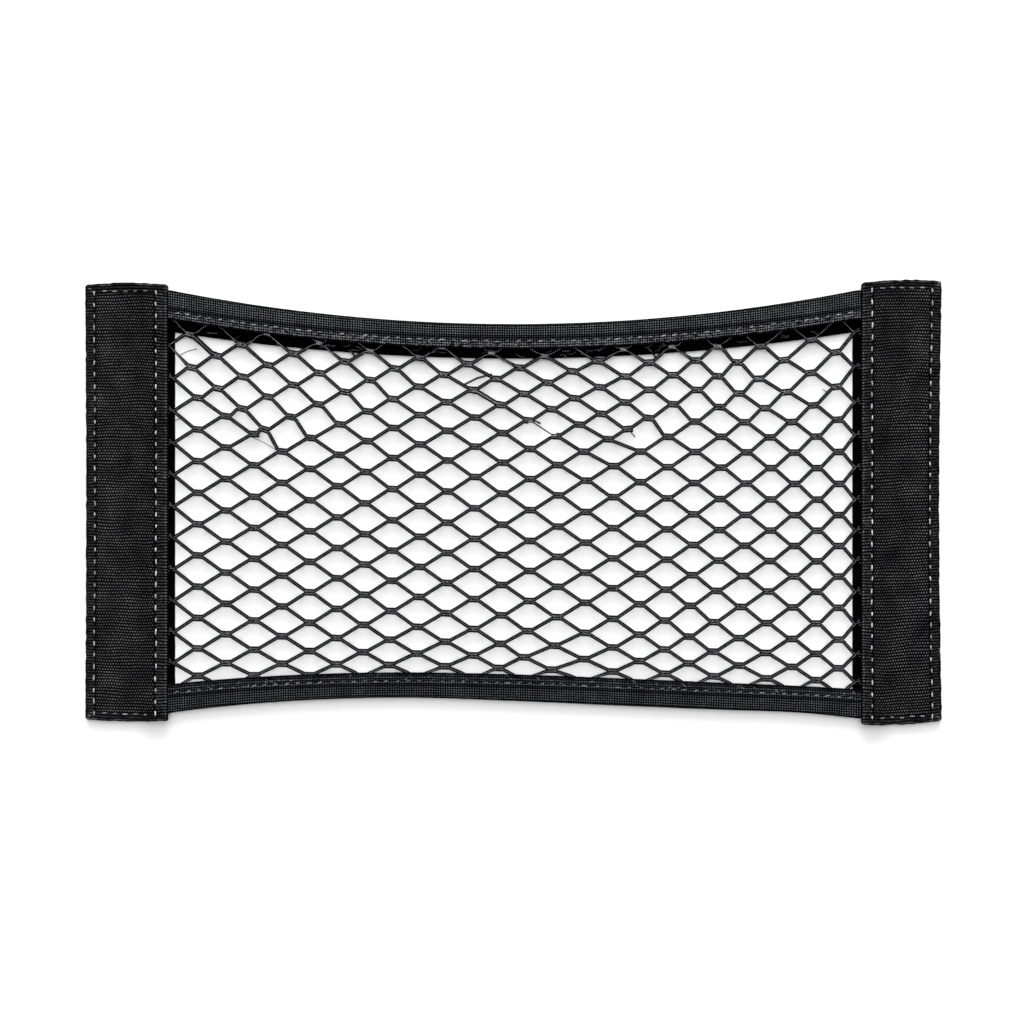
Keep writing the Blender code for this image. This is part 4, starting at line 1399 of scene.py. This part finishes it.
    def wrap(self, piece: Piece, place: Place, turn: Place, rng: random.Random) -> None:
        """Wrap one knot with its crossing loops of yarn.

        Args:
            piece: Where the loops go.
            place: The knot's middle.
            turn: The knot's direction.
            rng: Source of the small differences between knots.
        """
        past = self.outside(place)
        size = 1 - 0.3 * ramp(past, 0.0, 2.5)
        frayed = ramp(place[1], 35.0, 75.0)
        dx, dy = turn
        for (row, across), k in itertools.product(enumerate((0.48, -0.52)), range(4)):
            s = (-2.15 + 1.3 * k + 0.5 * row + rng.uniform(-0.12, 0.12)) * size
            t = (across + rng.uniform(-0.10, 0.10) * (1 + 3 * frayed)) * size
            lean = rng.uniform(-0.25, 0.25) + (0.3 if row else -0.3)
            pale = rng.uniform(0.3, 0.85) + 1.0 * frayed * rng.random() + 0.4 * ramp(past, 0.0, 2.0)
            low, high = [], []
            for a, b in ((-0.48, -0.30), (0.48, -0.30), (0.48, 0.30), (-0.48, 0.30)):
                for ring, share, rise in ((low, 1.0, 0.35), (high, 0.6, 0.84)):
                    u, v = s + a * share - lean * b * share, t + b * share + lean * a * share
                    ring.append(piece.point((place[0] + dx * u - dy * v, place[1] + dy * u + dx * v,
                                             NET_MIDDLE + rise), (a, b), pale))
            piece.skin((low, high))
            piece.face(high)
            piece.face(reversed(low))


# Room

class Lobe(NamedTuple):
    """A brighter part of the dome: its height in degrees, where it starts and is full, and its brightness."""
    height: float
    start: float
    full: float
    gain: float


@dataclass
class Room:
    """The pale floor, the soft light and the camera straight above.

    Attributes:
        wide: Width of the floor that the camera sees.
        middle: Its middle.
        lens: Of the camera, in millimetres; sensor likewise.
        surround: Brightness of the dome all round.
        lobes: Its brighter parts.
        overhead: Power of the light overhead.
        backdrop: Brightness of the dome where it is looked at, behind the floor.
    """
    wide: float = 584.5
    middle: Place = (-0.86, -5.7)
    lens: float = 100.0
    sensor: float = 36.0
    surround: float = 0.06
    lobes: tuple[Lobe, ...] = (
        Lobe(90.0, 0.90, 1.00, 3.1), Lobe(60.0, 0.60, 0.95, 1.0), Lobe(50.0, 0.60, 0.95, 0.9),
        Lobe(12.0, 0.85, 0.99, 12.0))
    overhead: float = 2.0
    backdrop: float = 1.25

    def floor(self) -> None:
        """Lay the floor."""
        bpy.ops.object.select_all(action="DESELECT")
        bpy.ops.mesh.primitive_plane_add(size=8.0, location=(0, 0, 0))
        floor = bpy.context.active_object
        floor.name = "floor"
        made = bpy.data.materials.new("matt_white_paper")
        made.use_nodes = True
        shader = made.node_tree.nodes["Principled BSDF"]
        shader.inputs["Base Color"].default_value = linear("#f6f6f6")
        shader.inputs["Roughness"].default_value = 0.9
        shader.inputs["Specular IOR Level"].default_value = 0.1
        floor.data.materials.append(made)
        floor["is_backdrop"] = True

    def light(self) -> None:
        """Set a soft white dome, brightest low beyond the top edge, and a faint large light overhead."""
        world = bpy.data.worlds.new("white_dome")
        world.use_nodes = True
        tree = world.node_tree
        add = partial(add_node, tree)
        direction = add("ShaderNodeTexCoord").outputs["Generated"]
        total = self.surround
        for lobe in self.lobes:
            angle = math.radians(lobe.height)
            aim = (0.0, math.cos(angle), math.sin(angle))
            facing = add(VECTOR_MATH, direction, aim, operation="DOT_PRODUCT")
            glow = add(MAP_RANGE, facing.outputs["Value"], lobe.start, lobe.full, 0.0, lobe.gain,
                       interpolation_type="SMOOTHSTEP")
            total = add(MATH, glow, total, operation="ADD")
        seen = add("ShaderNodeLightPath").outputs["Is Camera Ray"]
        strength = add(MIX, seen, None, total, self.backdrop)
        background = tree.nodes["Background"]
        background.inputs[0].default_value = (1, 1, 1, 1)
        tree.links.new(strength.outputs[0], background.inputs[1])
        bpy.context.scene.world = world
        data = bpy.data.lights.new("overhead_light", "AREA")
        data.energy, data.size = self.overhead, 2.4
        lamp = bpy.data.objects.new("overhead_light", data)
        lamp.location = (0.0, 0.3, 2.6)
        bpy.context.collection.objects.link(lamp)
        bpy.context.scene.view_settings.view_transform = "Standard"

    def camera(self) -> None:
        """Look straight down on the pocket."""
        data = bpy.data.cameras.new("camera")
        data.lens, data.sensor_width = self.lens, self.sensor
        data.clip_start, data.clip_end = 0.05, 50.0
        camera = bpy.data.objects.new("camera", data)
        away = self.wide * self.lens / self.sensor + NET_HIGH
        camera.location = (self.middle[0] * MM, (self.middle[1] + CENTRING) * MM, away * MM)
        bpy.context.collection.objects.link(camera)
        bpy.context.scene.camera = camera


def corners(box: tuple[Vector, Vector]) -> list[list[float]]:
    """Turn a box into plain lists."""
    return [list(corner) for corner in box]


def main() -> None:
    """Build and dress the pocket, and set it in its room."""
    logging.basicConfig(level=logging.INFO)
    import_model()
    cad_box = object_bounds()
    room = Room()
    room.camera()
    room.floor()
    room.light()
    Net().build()
    FoldedTape("top_tape", top_tape, stitch_in=4.3, seed=1.0, border_pale=2.0, rim_line=0.0,
               stitch_pale=0.75, curls=230).make()
    FoldedTape("bottom_tape", bottom_tape, stitch_in=5.0, seed=2.0, border_pale=0.3, rim_line=3.5,
               stitch_pale=0.45, curls=60).make()
    for band in (LEFT_BAND, RIGHT_BAND):
        band.make()
    {"cad": corners(cad_box), "visual": corners(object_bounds())}


if __name__ == "__main__":
    main()
